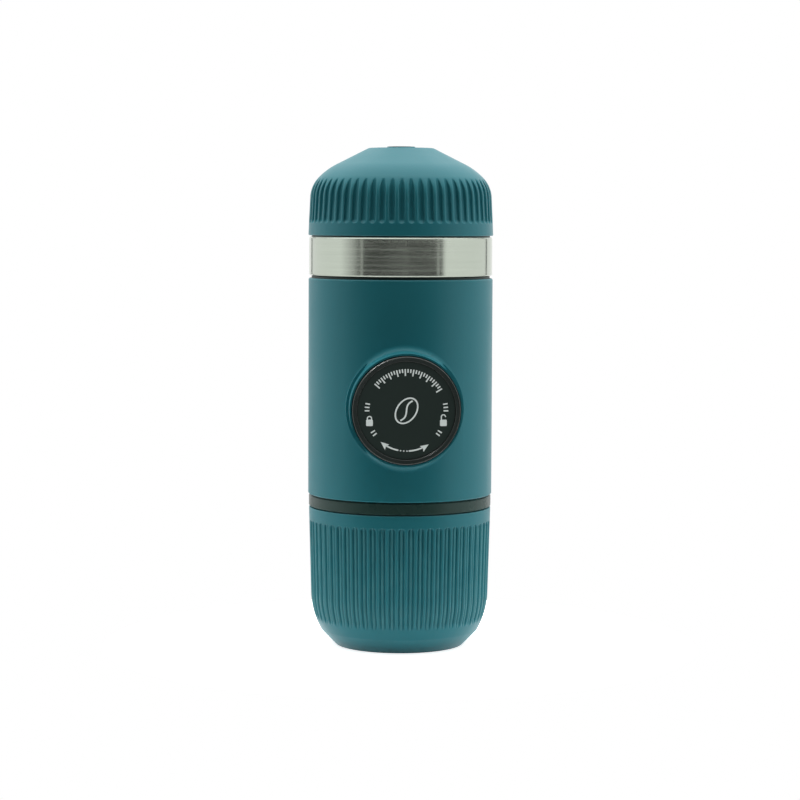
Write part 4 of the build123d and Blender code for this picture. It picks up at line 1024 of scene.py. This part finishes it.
flat = np.array(print_points)
in_front = np.full((len(flat), 1), FACE_FRONT + INK_HEIGHT)
print_mesh = bpy.data.meshes.new("knob_signs")
print_mesh.from_pydata(on_pump_axis(np.hstack((flat, in_front))) * MM, [], print_faces)
print_mesh.materials.append(ink)
signs = bpy.data.objects.new("knob_signs", print_mesh)
bpy.context.scene.collection.objects.link(signs)
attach(signs, "knob")
for piece in (cap, face, signs):
    spotlit.objects.link(piece)
print("shapes in the print:", len(print_faces))

# %% [markdown]
# ## Valve springs
# Two small springs hold the pump's valve balls on their seats, and give way when a ball
# lifts. They are wound again here as rings of points along a helix, each with a mesh of
# its own.

# %% Valve springs
WIRE_RADIUS = 0.2
COIL_RADIUS = 1.5
COIL_TURNS = 5
ROWS_PER_TURN = 24
WIRE_COLUMNS = 10


def coil(low, high):
    """Grid of a wire wound round Z between two heights: rows along it, columns round it.

    The first and last rows have no width, which closes the ends.
    """
    turn = np.linspace(0, 2 * np.pi * COIL_TURNS, ROWS_PER_TURN * COIL_TURNS + 1)
    turn = np.hstack((turn[:1], turn, turn[-1:]))
    outwards = np.stack((np.cos(turn), np.sin(turn), 0 * turn), axis=1)
    middle = COIL_RADIUS * outwards
    middle[:, 2] = low + WIRE_RADIUS + (high - low - 2 * WIRE_RADIUS) * turn / turn[-1]
    width = np.full(len(turn), WIRE_RADIUS)
    width[[0, -1]] = 0
    section = np.linspace(2 * np.pi, 0, WIRE_COLUMNS, endpoint=False)[:, None]
    round_wire = np.cos(section) * outwards[:, None] + np.sin(section) * np.array((0, 0, 1))
    return middle[:, None] + width[:, None, None] * round_wire


for name in ("inlet", "outlet"):
    low, high = (np.array(corner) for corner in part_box(name + "_spring"))
    middle = (low + high) / 2
    grid = coil(low[2] / MM, high[2] / MM) + np.array((middle[0], middle[1], 0)) / MM
    spring = surface(name + "_valve_spring", grid, bright_steel, "main_body")
    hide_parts(name + "_spring")
    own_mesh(spring)

# %% [markdown]
# ## Better finishes for the CAD meshes
# Every piece that isn't made again above keeps its CAD mesh, and gets the finish of the
# material that the record names for it.

# %% Finishes
finishes = {
    "teal_plastic": teal,
    "black_gloss_plastic": black_gloss,
    "black_satin_plastic": black_satin,
    "knob_print": black_satin,
    "dark_nylon": nylon,
    "brushed_steel": brushed,
    "plain_steel": bright_steel,
    "grey_silicone": silicone,
}
for row in frame["record"]["subparts"]:
    made = nodes[row["node"]]
    made.data.materials.clear()
    made.data.materials.append(finishes[row["material_slot"]])
print("finishes for the CAD meshes:", len(finishes))

# %% Sizes
low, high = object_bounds()
